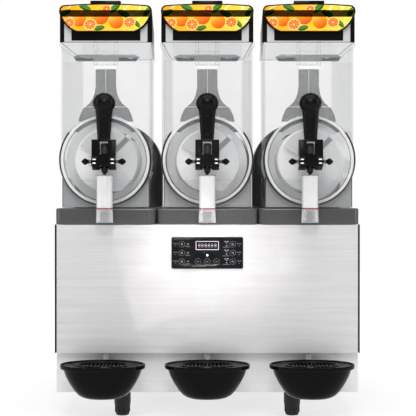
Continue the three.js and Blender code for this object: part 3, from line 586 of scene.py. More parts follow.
def feet():
    for node in [name for name in nodes if name.startswith("foot_")]:
        low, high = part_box(node)
        centre = ((low.x + high.x) / 2, (low.y + high.y) / 2, 0)
        top, radius = high.z, (high.y - low.y) / 2
        bm = bmesh.new()
        addTurned(bm, [(0, 0), (radius * 0.72, 0), (radius * 0.80, 1.2 * mm), (radius * 0.86, 8 * mm),
                       (radius * 0.93, 16 * mm), (radius * 0.95, 21 * mm), (radius, 24 * mm),
                       (radius, top - 1 * mm), (radius - 1 * mm, top), (0, top)], centre, "z", 40)
        for i in range(footParts["ribs"]):
            turn = 2 * math.pi * (i + 0.5) / footParts["ribs"]
            rib = addBlock(bm, (radius * 0.8, -footParts["rib"] / 2, 6 * mm),
                           (radius * 0.965, footParts["rib"] / 2, 23 * mm), 0.4 * mm, 1)
            bmesh.ops.rotate(bm, cent=(0, 0, 0), matrix=Matrix.Rotation(turn, 3, "Z"), verts=rib)
            bmesh.ops.translate(bm, vec=centre, verts=rib)
        finishPiece(node + "_finished", bm, "base", footRubber, (node,))


deckShape = {"corner": 14 * mm, "edge": 2.5 * mm, "wall": 2.6 * mm}


def decks():
    for side in sides:
        low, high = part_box("deck_" + side)
        bm = bmesh.new()
        addBlock(bm, low, high)
        under = [face for face in bm.faces if face.normal.z < -0.9]
        bmesh.ops.delete(bm, geom=under, context="FACES_ONLY")
        corners = [edge for edge in edgesAt(bm, 1, low.y)
                   if abs(edge.verts[0].co.z - edge.verts[1].co.z) > 1e-4]
        roundEdges(bm, corners, deckShape["corner"], 9)
        roundEdges(bm, edgesAt(bm, 2, high.z), deckShape["edge"], 3)
        bmesh.ops.recalc_face_normals(bm, faces=bm.faces)
        bmesh.ops.solidify(bm, geom=list(bm.faces), thickness=deckShape["wall"])
        keepIn(bm, low, high)
        finishPiece(f"deck_{side}_finished", bm, "base", satinBlack, ("deck_" + side,))


coverShape = {"edge": 7 * mm, "wall": 2.4 * mm, "archSteps": 40}


# An arch swept by a spin, drawn down to the deck, with a closed back.
def rearCovers():
    for side in sides:
        low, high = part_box("rear_cover_" + side)
        middle, radius = (low.x + high.x) / 2, (high.x - low.x) / 2
        springLine = high.z - radius
        bm = bmesh.new()
        ends = [bm.verts.new((middle + radius, y, springLine)) for y in (low.y, high.y)]
        line = bm.edges.new(ends)
        bmesh.ops.spin(bm, geom=[*ends, line], cent=(middle, 0, springLine), axis=(0, -1, 0), dvec=(0, 0, 0),
                       angle=math.pi, steps=coverShape["archSteps"], use_merge=False, use_duplicate=False)
        legs = bmesh.ops.extrude_edge_only(bm, edges=edgesAt(bm, 2, springLine, 1e-5))["geom"]
        bmesh.ops.translate(bm, vec=(0, 0, low.z - springLine), verts=vertsOf(legs))
        for y in (low.y, high.y):
            loop = edgesAt(bm, 1, y)
            ends = [vert for vert in bm.verts if abs(vert.co.y - y) < 1e-6 and abs(vert.co.z - low.z) < 1e-6]
            loop.append(bm.edges.new(ends))
            bmesh.ops.contextual_create(bm, geom=loop)
        bmesh.ops.recalc_face_normals(bm, faces=bm.faces)
        floorLine = edgesAt(bm, 2, low.z)
        roundEdges(bm, [edge for edge in edgesAt(bm, 1, high.y) if edge not in floorLine],
                   coverShape["edge"], 5)
        bmesh.ops.recalc_face_normals(bm, faces=bm.faces)
        bmesh.ops.solidify(bm, geom=list(bm.faces), thickness=coverShape["wall"])
        keepIn(bm, low, high)
        finishPiece(f"rear_cover_{side}_finished", bm, "base", coverBlack,
                    ("rear_cover_" + side,))


frontPanel()
refined("base_pan", lowerSteel, 0.5 * mm, 1)
refined("casing", sideSteel, 0.5 * mm, 2)
edgeTrims()
casingScrews()
feet()
decks()
rearCovers()
repaint("top_plate", zincSheet)
refined("compressor", compressorPaint, 0.6 * mm, 1)
repaint("condenser", zincSheet)
repaint("fan", satinBlack)
print("base made")


# ---- controls

keypad = {"digit": (3.4 * mm, 6.4 * mm), "stroke": 0.7 * mm, "thick": 0.25 * mm, "figures": 6,
          "figurePitch": 6.3 * mm, "windowDrop": 16.5 * mm, "windowHalf": (22.5 * mm, 8.5 * mm),
          "frame": 1.0 * mm, "dots": 9, "dotPitch": 3 * mm, "firstDot": -29 * mm}
buttonMarks = {  # mm across and up from the button, half width and half height, and whether the mark is pale
    "left": ((-12.6, 1.2, 4.6, 0.8, False), (-12.6, -3.2, 1.3, 0.6, False), (12, 0.4, 1.6, 0.8, True),
             (12, -4.4, 4.2, 0.7, False)),
    "right": ((-14.6, 5.4, 1.7, 0.8, True), (-9.6, 5.4, 1.7, 0.8, True), (-12, 2.4, 1.2, 0.7, True),
              (-12, -2.6, 1.4, 0.8, True), (-13, -5.8, 6.6, 0.7, False), (12.6, 1.2, 4.2, 0.8, False),
              (12.6, -3.2, 1.2, 0.7, False)),
}


# One figure of the display, as seven strokes. Only the chosen strokes are added.
def addFigure(bm, centreX, centreZ, front, lit):
    wide, tall = keypad["digit"]
    half = keypad["stroke"] / 2
    strokes = {
        "top": (0, tall / 2, wide / 2, half), "foot": (0, -tall / 2, wide / 2, half),
        "bar": (0, 0, wide / 2, half),
        "upLeft": (-wide / 2, tall / 4, half, tall / 4), "upRight": (wide / 2, tall / 4, half, tall / 4),
        "lowLeft": (-wide / 2, -tall / 4, half, tall / 4), "lowRight": (wide / 2, -tall / 4, half, tall / 4),
    }
    for key in lit:
        x, z, halfX, halfZ = strokes[key]
        addBlock(bm, (centreX + x - halfX * 0.86, front - keypad["thick"], centreZ + z - halfZ * 0.86),
                 (centreX + x + halfX * 0.86, front, centreZ + z + halfZ * 0.86))


# A thin printed dash on the panel's face.
def addDash(bm, x, z, halfX, halfZ, front):
    addBlock(bm, (x - halfX, front - 0.12 * mm, z - halfZ), (x + halfX, front + 0.1 * mm, z + halfZ))


def controlPanel():
    low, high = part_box("control_panel")
    front, middleZ = low.y, (low.z + high.z) / 2
    refined("control_panel", keypadBlack, 0.3 * mm, 1)
    windowZ = high.z - keypad["windowDrop"]
    halfWide, halfTall = keypad["windowHalf"]
    recess = front + 0.8 * mm

    bm = bmesh.new()
    addBlock(bm, (-halfWide + 0.4 * mm, recess - 0.4 * mm, windowZ - halfTall + 0.4 * mm),
             (halfWide - 0.4 * mm, recess + 0.1 * mm, windowZ + halfTall - 0.4 * mm), 0.15 * mm, 1)
    finishPiece("display_glass", bm, "base", glossBlack)

    bm = bmesh.new()
    edge = keypad["frame"]
    for direction in (-1, 1):
        for halves, shift in (((halfWide, edge / 2), (0, halfTall - edge / 2)),
                              ((edge / 2, halfTall), (halfWide - edge / 2, 0))):
            x, z = shift[0] * direction, windowZ + shift[1] * direction
            addBlock(bm, (x - halves[0], front - 0.15 * mm, z - halves[1]),
                     (x + halves[0], front + 0.7 * mm, z + halves[1]))
    finishPiece("display_frame", bm, "base", chrome)

    dim, bright = bmesh.new(), bmesh.new()
    for i in range(keypad["figures"]):
        x = (i - (keypad["figures"] - 1) / 2) * keypad["figurePitch"]
        unlit = ("top", "foot", "upLeft", "upRight", "lowLeft", "lowRight")
        addFigure(dim, x, windowZ, recess - 0.45 * mm, unlit)
        addFigure(bright, x, windowZ, recess - 0.45 * mm, ("bar",))
    finishPiece("display_figures", dim, "base", digitDim)
    finishPiece("display_bars", bright, "base", digitPink)

    cap = [(0, -0.3 * mm), (1.7 * mm, -0.3 * mm), (1.9 * mm, 0.2 * mm), (0, 0.2 * mm)]
    turnedPiece("power_light", cap, (0, front, middleZ - 4.5 * mm), "y", 28, "base", ledBlue,
                False)

    # Printed marks beside each button: dashes, dots and arrows only
    marks, pale = bmesh.new(), bmesh.new()
    for node in [name for name in nodes if name.startswith("button_") and "centre" not in name]:
        buttonLow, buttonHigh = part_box(node)
        x, z = (buttonLow.x + buttonHigh.x) / 2, (buttonLow.z + buttonHigh.z) / 2
        for across, up, halfX, halfZ, isPale in buttonMarks["left" if x < 0 else "right"]:
            addDash(pale if isPale else marks, x + across * mm, z + up * mm, halfX * mm, halfZ * mm, front)
    for i in range(keypad["dots"]):
        addDash(marks, i * keypad["dotPitch"] + keypad["firstDot"], low.z + 4.8 * mm, 1.0 * mm, 0.7 * mm,
                front)
    finishPiece("keypad_marks", marks, "base", printGrey)
    finishPiece("keypad_bright_marks", pale, "base", printPale)


# A round cap with a thin printed ring and a small sign: a drop, a bar or a cross.
def buttons():
    for node in [name for name in nodes if name.startswith("button_")]:
        low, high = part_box(node)
        x, z = (low.x + high.x) / 2, (low.z + high.z) / 2
        top, radius, length = low.y, (high.z - low.z) / 2, high.y - low.y
        body = nodes[node]["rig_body"]
        cap = [(0, 0.3 * mm), (radius * 0.6, 0.2 * mm), (radius * 0.9, 0), (radius, 0.4 * mm),
               (radius, length), (0, length)]
        turnedPiece(node + "_finished", cap, (x, top, z), "y", 36, body, buttonBlack, False,
                    (node,))
        bm = bmesh.new()
        addRing(bm, (x, top + 0.2 * mm, z), radius * 0.90, 0.32 * mm, "y", 40, 6)
        finishPiece(node + "_ring", bm, body, printGrey)
        bm = bmesh.new()
        front = top + 0.28 * mm
        if "centre" in node:
            addDash(bm, x, z, radius * 0.30, 0.45 * mm, front)
        elif x < 0:
            addTurned(bm, [(0, -0.12 * mm), (1.5 * mm, -0.12 * mm), (1.5 * mm, 0.1 * mm), (0, 0.1 * mm)],
                      (x, front, z), "y", 20)
            addDash(bm, x, z + 1.4 * mm, 0.5 * mm, 0.9 * mm, front)
        else:
            addDash(bm, x, z, 2.2 * mm, 0.45 * mm, front)
            addDash(bm, x - 1.2 * mm, z + 1.3 * mm, 0.4 * mm, 1.1 * mm, front)
            addDash(bm, x + 1.2 * mm, z - 1.3 * mm, 0.4 * mm, 1.1 * mm, front)
        finishPiece(node + "_sign", bm, body, printPale)


controlPanel()
buttons()
print("controls made")


# ---- bowls

bowlTrim = {"nose": 90 * mm, "skirtHalf": 86 * mm, "ledgeRise": 201 * mm, "ledgeHalf": 66 * mm,
            "plateRadius": 57 * mm, "plateDrop": 33 * mm, "plateThick": 1.6 * mm, "chordDrop": 39 * mm,
            "tubeGap": 16.8 * mm, "channelPosts": (-24, -18, 16, 22), "channelBars": (-14, 12, 30),
            "channelHalf": 24 * mm, "channelWall": 1.6 * mm, "sheenSleeve": (14.2 * mm, 15.6 * mm)}
# The neck's edge: mm from the middle, and mm over the drum's axis
neckHalf = ((18, 180), (20, 177), (20, 146), (22, 132), (26, 121), (32, 112), (40, 105.5), (45, 101),
            (51, 88), (54, 76))
# Milky strips at the neck's top, down its middle and across its shoulder seam: real edges, with their light
# painted in as highlight lines.
# Half width, low end, high end, front and back in front of the wall, rounding, all in mm, and its steps
neckSeamHighlights = (
    (21.5, 178, 186, 3.4, 0, 1.5, 3), (0.7, 110, 178, 3.8, 2.6, 0.4, 2), (44, 104, 105.6, 3.7, 2.7, 0.4, 2))


# A closed flat outline in X and Z, pushed back from y0 to y1, with rounded front edges.
def addPlate(bm, outline, y0, y1, bevel=0.0, segments=2):
    face = bm.faces.new([bm.verts.new((x, y0, z)) for x, z in outline])
    made = bmesh.ops.extrude_face_region(bm, geom=[face])["geom"]
    bmesh.ops.translate(bm, vec=(0, y1 - y0, 0), verts=vertsOf(made))
    if bevel:
        roundEdges(bm, list(face.edges), bevel, segments)


# Half of an outline, mirrored to make the whole of it.
def mirrored(half, x, z):
    right = [(x + across * mm, z + up * mm) for across, up in half]
    left = [(x - across * mm, z + up * mm) for across, up in reversed(half)]
    return right + left


def arcPoints(radius, start, end, steps):
    return [(radius * math.cos(math.radians(start + (end - start) * i / steps)),
             radius * math.sin(math.radians(start + (end - start) * i / steps))) for i in range(steps + 1)]


def noseRings(side, x, body):
    radius = bowlTrim["nose"]
    lip = [(radius - 8.2 * mm, 0.1 * mm), (radius - 7.6 * mm, -0.9 * mm), (radius - 3.4 * mm, -1.1 * mm),
           (radius - 2.9 * mm, -0.4 * mm), (radius - 2.9 * mm, 0.3 * mm)]
    turnedPiece(f"nose_lip_{side}", lip, (x, noseY, axisZ), "y", 96, body, milkyTube)
    edge = [(radius - 2.6 * mm, -0.8 * mm), (radius - 0.4 * mm, -0.6 * mm), (radius + 0.8 * mm, 1.2 * mm),
            (radius + 0.8 * mm, 6 * mm), (radius - 2.6 * mm, 6 * mm)]
    bm = bmesh.new()
    addTurned(bm, edge, (x, noseY, axisZ), "y", 96, True)
    opened = [vert for vert in bm.verts if vert.co.z > axisZ + radius * 0.62]
    bmesh.ops.delete(bm, geom=opened, context="VERTS")
    bmesh.ops.holes_fill(bm, edges=[line for line in bm.edges if line.is_boundary], sides=0)
    finishPiece(f"nose_edge_{side}", bm, body, clearOutline)
    bm = bmesh.new()
    addRing(bm, (x, noseY - 0.3 * mm, axisZ), radius - 9.4 * mm, 0.45 * mm, "y", 96, 8)
    finishPiece(f"nose_step_{side}", bm, body, clearDark)

    # Thick crescent under the nose's top edge, where the round front meets the hopper
    inner, outer = radius - 15 * mm, radius - 6.6 * mm
    bm = bmesh.new()
    addPlate(bm, [(x + px, axisZ + pz) for px, pz in arcPoints(outer, 42, 138, 28)]
             + [(x - px, axisZ + pz - 1.5 * mm) for px, pz in arcPoints(inner + 1.5 * mm, 46, 134, 28)],
             noseY - 0.4 * mm, noseY - 0.1 * mm)
    finishPiece(f"nose_crescent_{side}", bm, body, clearNeck)


def neckRelief(side, x, body):
    bm = bmesh.new()
    addPlate(bm, mirrored(neckHalf, x, axisZ), hopperY - 3.0 * mm, hopperY + 0.3 * mm, 1.2 * mm, 3)
    finishPiece(f"neck_relief_{side}", bm, body, clearNeck)
    # The neck's seams drawn as milky strips, a painted highlight along each.
    bm = bmesh.new()
    for half, low, high, front, back, rounding, segments in neckSeamHighlights:
        addBlock(bm, (x - half * mm, hopperY - front * mm, axisZ + low * mm),
                 (x + half * mm, hopperY - back * mm, axisZ + high * mm), rounding * mm, segments)
    finishPiece(f"neck_seam_highlights_{side}", bm, body, milkyTube)


def wallLedge(side, x, body):
    ledgeZ, half = axisZ + bowlTrim["ledgeRise"], bowlTrim["ledgeHalf"]
    outline = [(-half, 3 * mm), (-half + 10 * mm, 8 * mm), (half - 10 * mm, 8 * mm), (half, 3 * mm),
               (half - 8 * mm, -5 * mm), (-half + 8 * mm, -5 * mm)]
    bm = bmesh.new()
    addPlate(bm, [(x + px, ledgeZ + pz) for px, pz in outline], hopperY + 3.7 * mm, hopperY + 12 * mm,
             1.5 * mm, 3)
    finishPiece(f"wall_ledge_{side}", bm, body, clearNeck)
    bm = bmesh.new()
    for direction in (-1, 1):
        ends = sorted((x + direction * 26 * mm, x + direction * (half - 5 * mm)))
        addBlock(bm, (ends[0], hopperY + 2.6 * mm, ledgeZ - 4.5 * mm),
                 (ends[1], hopperY + 3.6 * mm, ledgeZ + 1.5 * mm), 0.45 * mm)
    finishPiece(f"ledge_shadow_{side}", bm, body, clearDark)
    bm = bmesh.new()
    reach, wall = bowlTrim["channelHalf"], bowlTrim["channelWall"]
    for offset in bowlTrim["channelPosts"]:
        addBlock(bm, (x + offset * mm, hopperY - 2.4 * mm, ledgeZ - 14 * mm),
                 (x + offset * mm + wall, hopperY, ledgeZ + 34 * mm), 0.6 * mm)
    for rise in bowlTrim["channelBars"]:
        addBlock(bm, (x - reach, hopperY - 2.2 * mm, ledgeZ + rise * mm),
                 (x + reach, hopperY, ledgeZ + rise * mm + wall), 0.6 * mm)
    finishPiece(f"wall_channel_{side}", bm, body, clearStep)


def noseStepPlate(side, x, body):
    bm = bmesh.new()
    made = bmesh.ops.create_circle(bm, cap_ends=True, radius=bowlTrim["plateRadius"], segments=72)["verts"]
    bmesh.ops.rotate(bm, cent=(0, 0, 0), matrix=Matrix.Rotation(math.pi / 2, 3, "X"), verts=made)
    bmesh.ops.translate(bm, vec=(0, 0, -bowlTrim["plateDrop"]), verts=made)
    cutAlong(bm, (0, 0, -bowlTrim["chordDrop"]), (0, 0, 1))
    gap = bowlTrim["tubeGap"]
    for cut in (-gap, gap):
        cutAlong(bm, (cut, 0, 0), (1, 0, 0), False)
    tubeWay = [face for face in bm.faces if abs(face.calc_center_median().x) < gap]
    bmesh.ops.delete(bm, geom=tubeWay, context="FACES")
    grown = bmesh.ops.extrude_face_region(bm, geom=list(bm.faces))["geom"]
    thick, lift = bowlTrim["plateThick"], 0.1 * mm
    bmesh.ops.translate(bm, vec=(0, -thick, 0), verts=vertsOf(grown))
    bmesh.ops.translate(bm, vec=(x, noseY - lift, axisZ), verts=bm.verts)
    roundEdges(bm, edgesAt(bm, 1, noseY - lift - thick, 1e-5), thick / 2, 2)
    finishPiece(f"nose_plate_{side}", bm, body, clearStep)


# Thick front wall of the skirt, round the lower half of the nose.
def skirtBlock(side, x, body):
    radius, half = bowlTrim["nose"] + 0.8 * mm, bowlTrim["skirtHalf"] - 1.6 * mm
    bottom, top = deckTop + 2.4 * mm, axisZ - 24 * mm
    turn = math.degrees(math.asin((axisZ - top) / radius))
    bm = bmesh.new()
    for direction in (-1, 1):
        arc = [(direction * px, pz) for px, pz in arcPoints(radius, -turn, -88, 24)]
        outline = [(px, pz) for px, pz in arc if abs(px) < half]
        corner = [(direction * 1.5 * mm, bottom - axisZ), (direction * half, bottom - axisZ),
                  (direction * half, top - axisZ)]
        addPlate(bm, [(x + px, axisZ + pz) for px, pz in corner + outline], hopperY - 0.5 * mm,
                 hopperY + 2.4 * mm)
    finishPiece(f"skirt_wall_{side}", bm, body, clearBlock)
    bm = bmesh.new()
    for direction in (-1, 1):
        ends = sorted((x + direction * half, x + direction * (half + 1.5 * mm)))
        addBlock(bm, (ends[0], hopperY - 0.4 * mm, bottom), (ends[1], hopperY + 3 * mm, top - 8 * mm),
                 0.5 * mm)
    finishPiece(f"skirt_edges_{side}", bm, body, clearOutline)


def bowls():
    for side in sides:
        body, x = "bowl_" + side, stationX[side]
        refined("bowl_" + side, clearBowl, 0.7 * mm, 2)
        noseRings(side, x, body)
        neckRelief(side, x, body)
        wallLedge(side, x, body)
        noseStepPlate(side, x, body)
        skirtBlock(side, x, body)

        # Beads round the tap tube
        bm = bmesh.new()
        for height, grow in ((spigotBottom + 1.6 * mm, 0.3 * mm), (pivotZ - 26.6 * mm, 0.2 * mm),
                             (spigotBottom + 26 * mm, 0.1 * mm)):
            addRing(bm, (x, tapY, height), 16.1 * mm + grow, 1.3 * mm, "z", 48, 10)
        finishPiece(f"tube_beads_{side}", bm, body, clearStep)
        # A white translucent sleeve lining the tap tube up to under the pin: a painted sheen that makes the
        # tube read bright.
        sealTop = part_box("tap_piston_" + side)[0].z + 7.6 * mm
        sheenTop = pivotZ - 27 * mm
        inner, outer = bowlTrim["sheenSleeve"]
        sheenSleeve = [(inner, sealTop), (outer, sealTop), (outer, sheenTop), (inner, sheenTop)]
        turnedPiece(f"tube_sheen_sleeve_{side}", sheenSleeve, (x, tapY, 0), "z", 48, body, tubeSheenPaint)
        mouthBottom, mouthTop = spigotBottom + 1 * mm, sealTop - 3.4 * mm
        mouth = [(14.4 * mm, mouthBottom), (16.6 * mm, mouthBottom), (outer, mouthTop), (14.4 * mm, mouthTop)]
        turnedPiece(f"tube_mouth_{side}", mouth, (x, tapY, 0), "z", 48, body, mouthTube)

        # Gasket between the bowl's rear edge and the drum's flange
        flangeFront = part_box("drum_" + side)[1].y - 5 * mm
        gasket = [(82 * mm, -2.2 * mm), (85.5 * mm, -2.2 * mm), (85.5 * mm, -0.1 * mm), (82 * mm, -0.1 * mm)]
        turnedPiece(f"bowl_gasket_{side}", gasket, (x, flangeFront, axisZ), "y", 64, "base", gasketGrey)


bowls()
print("bowls made")

# ---- drums and augers

augerShape = {"outer": 82 * mm, "inner": 66 * mm, "thick": 5 * mm, "pitch": 105 * mm, "stepsPerTurn": 40,
              "fanStart": -41, "fanEnd": 152, "fanRadius": (64 * mm, 57 * mm), "toe": 61 * mm,
              "begin": math.pi / 4, "fanSteps": 36}


def drumPiece(side, x):
    low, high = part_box("drum_" + side)
    length, flange, wall = high.y - low.y, 5 * mm, 3 * mm
    can = [(9 * mm, 0.4 * mm), (10 * mm, 0), (58 * mm, 0), (61 * mm, 0.8 * mm), (62 * mm, 3 * mm),
           (62 * mm, length), (59 * mm, length), (59 * mm, wall), (9 * mm, wall)]
    turnedPiece(f"drum_{side}_finished", can, (x, low.y, axisZ), "y", 72, "base", drumSteel,
                True, ("drum_" + side,))
    front = length - flange
    ring = [(62 * mm, front), (86.5 * mm, front), (88 * mm, front + 1.5 * mm), (88 * mm, length),
            (62 * mm, length)]
    turnedPiece(f"drum_flange_{side}", ring, (x, low.y, axisZ), "y", 72, "base", coverBlack)


# The auger's strip, swept round the drum by a spin that also moves back along it.
def addStrip(bm, x, start, end):
    turns = (end - start) / augerShape["pitch"]
    steps = round(turns * augerShape["stepsPerTurn"])
    half, begin, outer = augerShape["thick"] / 2, augerShape["begin"], augerShape["outer"]
    section = [bm.verts.new((x + r * math.cos(begin), start + y, axisZ + r * math.sin(begin)))
               for r, y in ((augerShape["inner"], -half), (outer - 1.2 * mm, -half),
                            (outer, -half + 1.2 * mm),
                            (outer, half - 1.2 * mm), (outer - 1.2 * mm, half), (augerShape["inner"], half))]
    face = bm.faces.new(section)
    bmesh.ops.duplicate(bm, geom=[face])
    bmesh.ops.spin(bm, geom=[face, *face.edges, *face.verts], cent=(x, start, axisZ), axis=(0, -1, 0),
                   dvec=(0, (end - start) / steps, 0), angle=turns * 2 * math.pi, steps=steps,
                   use_merge=False, use_duplicate=False)


def augers():
    for side in sides:
        x = stationX[side]
        drumFront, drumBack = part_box("drum_" + side)[0].y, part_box("drum_" + side)[1].y
        fanY = drumFront - 12 * mm
        bm = bmesh.new()
        addStrip(bm, x, drumFront - 8 * mm, drumBack - 13 * mm)

        # The fan-shaped scraper, whose edge draws in as it goes round
        near, far = augerShape["fanRadius"]
        span = augerShape["fanEnd"] - augerShape["fanStart"]
        toe = augerShape["toe"]
        outline = [(0, -toe), (toe / 2, -toe)]
        steps = augerShape["fanSteps"]
        for i in range(steps + 1):
            turn = math.radians(augerShape["fanStart"] + span * i / steps)
            radius = near + (far - near) * i / steps
            outline.append((radius * math.cos(turn), radius * math.sin(turn)))
        outline.append((0, 0))
        addPlate(bm, [(x + px, axisZ + pz) for px, pz in outline], fanY, fanY + augerShape["thick"])

        # Spoke from the hub to the strip, then the hub and shaft
        spoke = addBlock(bm, (-6 * mm, fanY, 14 * mm), (6 * mm, drumFront - 5.5 * mm, 67 * mm), 1 * mm)
        bmesh.ops.rotate(bm, cent=(0, 0, 0), matrix=Matrix.Rotation(augerShape["begin"], 3, "Y"), verts=spoke)
        bmesh.ops.translate(bm, vec=(x, 0, axisZ), verts=spoke)
        hubY, shaftEnd = drumFront - 14 * mm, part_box("auger_" + side)[1].y
        addTurned(bm, [(0, 0), (13 * mm, 0), (16 * mm, 3 * mm), (16 * mm, 12.6 * mm), (8 * mm, 12.6 * mm),
                       (8 * mm, shaftEnd - hubY), (0, shaftEnd - hubY)], (x, hubY, axisZ), "y", 40)
        finishPiece(f"auger_{side}_finished", bm, "auger_" + side, augerWhite,
                    ("auger_" + side,))
        drumPiece(side, x)
        repaint("gear_motor_" + side, zincSheet)


augers()
print("drums and augers made")


# ---- taps

handleShape = {"knob": 22 * mm, "knobRise": 113 * mm, "cut": 42.5 * mm, "oval": 0.66}


def taps():
    for side in sides:
        x = stationX[side]
        body = "tap_handle_" + side

        # Fork and cheeks come from the frame, cut off under the shank
        bm = mergedCopy("tap_handle_" + side)
        cutAlong(bm, (0, 0, pivotZ + handleShape["cut"]), (0, 0, 1))
        bmesh.ops.holes_fill(bm, edges=[edge for edge in bm.edges if edge.is_boundary], sides=0)
        roundEdges(bm, sharpEdges(bm, 38), 0.9 * mm, 2, clamp_overlap=True)
        bmesh.ops.triangulate(bm, faces=[face for face in bm.faces if len(face.verts) > 4])
        finishPiece(f"tap_fork_{side}", bm, body, handleBlack, ("tap_handle_" + side,), 35,
                    False)

        # Shank, oval and wider towards the knob, with two panel lines
        bm = bmesh.new()
        rings = [(39, 12.2), (41, 12.5), (51, 13.2), (51.4, 12.7), (52.4, 12.7), (52.8, 13.3), (70, 14.4),
                 (88, 15.6), (88.4, 15.1), (89.4, 15.1), (89.8, 15.7), (98, 16.6), (104, 17.6)]
        profile = [(0, rings[0][0] * mm), *[(radius * mm, rise * mm) for rise, radius in rings],
                   (0, rings[-1][0] * mm)]
        addTurned(bm, profile, (x, pivotY + 6 * mm, pivotZ), "z", 40, squeeze=(1, handleShape["oval"], 1))
        finishPiece(f"tap_shank_{side}", bm, body, handleBlack, (), 40)

        bm = bmesh.new()
        knob = bmesh.ops.create_uvsphere(bm, u_segments=48, v_segments=28,
                                         radius=handleShape["knob"])["verts"]
        bmesh.ops.scale(bm, vec=(1, 0.86, 0.94), verts=knob)
        for vert in knob:
            if vert.co.z < 0:
                vert.co.x *= 1 - 0.12 * (vert.co.z / handleShape["knob"]) ** 2
        bmesh.ops.translate(bm, vec=(x, pivotY + 8 * mm, pivotZ + handleShape["knobRise"]), verts=knob)
        finishPiece(f"tap_knob_{side}", bm, body, handleBlack)

        # Chrome screw caps and the pin's edge between the cheeks
        bm = bmesh.new()
        for offset in (-17.5 * mm, 17.5 * mm):
            for height in (4 * mm, -3.4 * mm):
                addBlock(bm, (x + offset - 3.2 * mm, pivotY - 12.6 * mm, pivotZ + height - 1.3 * mm),
                         (x + offset + 3.2 * mm, pivotY - 10.8 * mm, pivotZ + height + 1.3 * mm), 0.7 * mm)
        finishPiece(f"fork_screws_{side}", bm, body, chrome)

        low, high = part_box("tap_pin_" + side)
        reach = (high.x - low.x) / 2
        ball = [(0, reach), (0.9 * mm, reach - 0.3 * mm), (3.2 * mm, reach - 2.4 * mm),
                (5.6 * mm, reach - 5.0 * mm),
                (6.6 * mm, reach - 7.6 * mm), (5.8 * mm, reach - 10.4 * mm), (3.4 * mm, reach - 12.4 * mm),
                (4.4 * mm, reach - 13.4 * mm), (4.4 * mm, reach - 14.4 * mm), (3 * mm, reach - 14.6 * mm)]
        profile = ball + [(radius, -rise) for radius, rise in reversed(ball)]
        turnedPiece(f"tap_pin_{side}_finished", profile, (x, pivotY, pivotZ), "x", 32, "bowl_" + side,
                    handleBlack, False, ("tap_pin_" + side,))


pistonShape = {"radius": 13.2 * mm, "length": 44 * mm, "rod": 2.4 * mm, "seal": 1.1 * mm}


def pistons():
    for side in sides:
        x, y = stationX[side], tapY
        low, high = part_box("tap_piston_" + side)
        body = "tap_piston_" + side
        bottom, top = low.z, low.z + pistonShape["length"]
        radius, rod = pistonShape["radius"], pistonShape["rod"]
        groove = radius - 1.0 * mm
        bm = bmesh.new()
        for level in (bottom, top - 12 * mm):
            addTurned(bm, [(0, level), (radius - 1.2 * mm, level), (radius, level + 1.2 * mm),
                           (radius, level + 4.6 * mm),
                           (groove, level + 4.9 * mm), (groove, level + 7.1 * mm), (radius, level + 7.4 * mm),
                           (radius, level + 10.8 * mm), (radius - 1.2 * mm, level + 12 * mm),
                           (0, level + 12 * mm)], (x, y, 0), "z", 48)
        finishPiece(f"piston_plunger_{side}", bm, body, milkyTube, ("tap_piston_" + side,))
        bm = bmesh.new()
        addTurned(bm, [(0, bottom + 12 * mm), (rod * 1.3, bottom + 12 * mm), (rod * 1.3, top - 12 * mm),
                       (0, top - 12 * mm)], (x, y, 0), "z", 24)
        addTurned(bm, [(0, top), (6.5 * mm, top), (rod * 1.6, top + 1.6 * mm), (rod, top + 2.6 * mm),
                       (rod, top + 24 * mm), (0, top + 24 * mm)], (x, y, 0), "z", 24)
        for direction in (-1, 1):
            ends = sorted((x + direction * 7.2 * mm, x + direction * 10.4 * mm))
            addBlock(bm, (ends[0], y - 6 * mm, bottom + 12 * mm), (ends[1], y + 6 * mm, top - 12 * mm),
                     0.6 * mm)
        finishPiece(f"piston_ribs_{side}", bm, body, pistonWhite)

        # The black stem, pointed below, and its cross pin
        bm = bmesh.new()
        collar = pivotZ + 16 * mm
        addTurned(bm, [(0, pivotZ - 27 * mm), (rod, pivotZ - 27 * mm), (rod, pivotZ - 24.6 * mm),
                       (6.6 * mm, pivotZ - 19 * mm), (6.8 * mm, pivotZ - 6 * mm),
                       (7.4 * mm, collar - 3 * mm), (7.4 * mm, collar), (0, collar)], (x, y, 0), "z", 36)
        addTurned(bm, [(0, -20 * mm), (2.5 * mm, -20 * mm), (2.5 * mm, 20 * mm), (0, 20 * mm)],
                  (x, y, pivotZ - 11 * mm), "x", 20)
        finishPiece(f"piston_stem_{side}", bm, body, stemBlack)

        # The collar, with upright ribs for the fingers
        bm = bmesh.new()
        addTurned(bm, [(0, collar), (7.0 * mm, collar), (7.2 * mm, collar + 1 * mm),
                       (7.2 * mm, high.z - 1.2 * mm), (6.4 * mm, high.z), (0, high.z)], (x, y, 0), "z", 36)
        for i in range(16):
            turn = 2 * math.pi * i / 16
            centre = Vector((x + 7.2 * mm * math.cos(turn), y + 7.2 * mm * math.sin(turn), 0))
            addTurned(bm, [(0, collar + 0.6 * mm), (0.7 * mm, collar + 1 * mm), (0.7 * mm, high.z - 2 * mm),
                           (0, high.z - 1.4 * mm)], centre, "z", 8)
        finishPiece(f"piston_collar_{side}", bm, body, collarGrey)

        bm = bmesh.new()
        for height in (bottom + 6 * mm, top - 6 * mm):
            addRing(bm, (x, y, height), radius - 0.95 * mm, pistonShape["seal"], "z", 56, 12)
        finishPiece(f"piston_seals_{side}", bm, body, sealRed)


taps()
pistons()
print("taps made")


# ---- lids

lidShape = {"wall": 2.5 * mm, "corner": 11 * mm, "crown": 3 * mm, "draft": 0.033 / 0.09, "bezelRise": 19 * mm,
            "bezelDepth": 12 * mm, "flat": 58 * mm, "sweep": (8 * mm, 9 * mm, 38 * mm), "margin": 2.4 * mm,
            "lens": 2.2 * mm, "pale": (68 * mm, 82 * mm), "tab": 30 * mm, "fullHalf": 91 * mm}


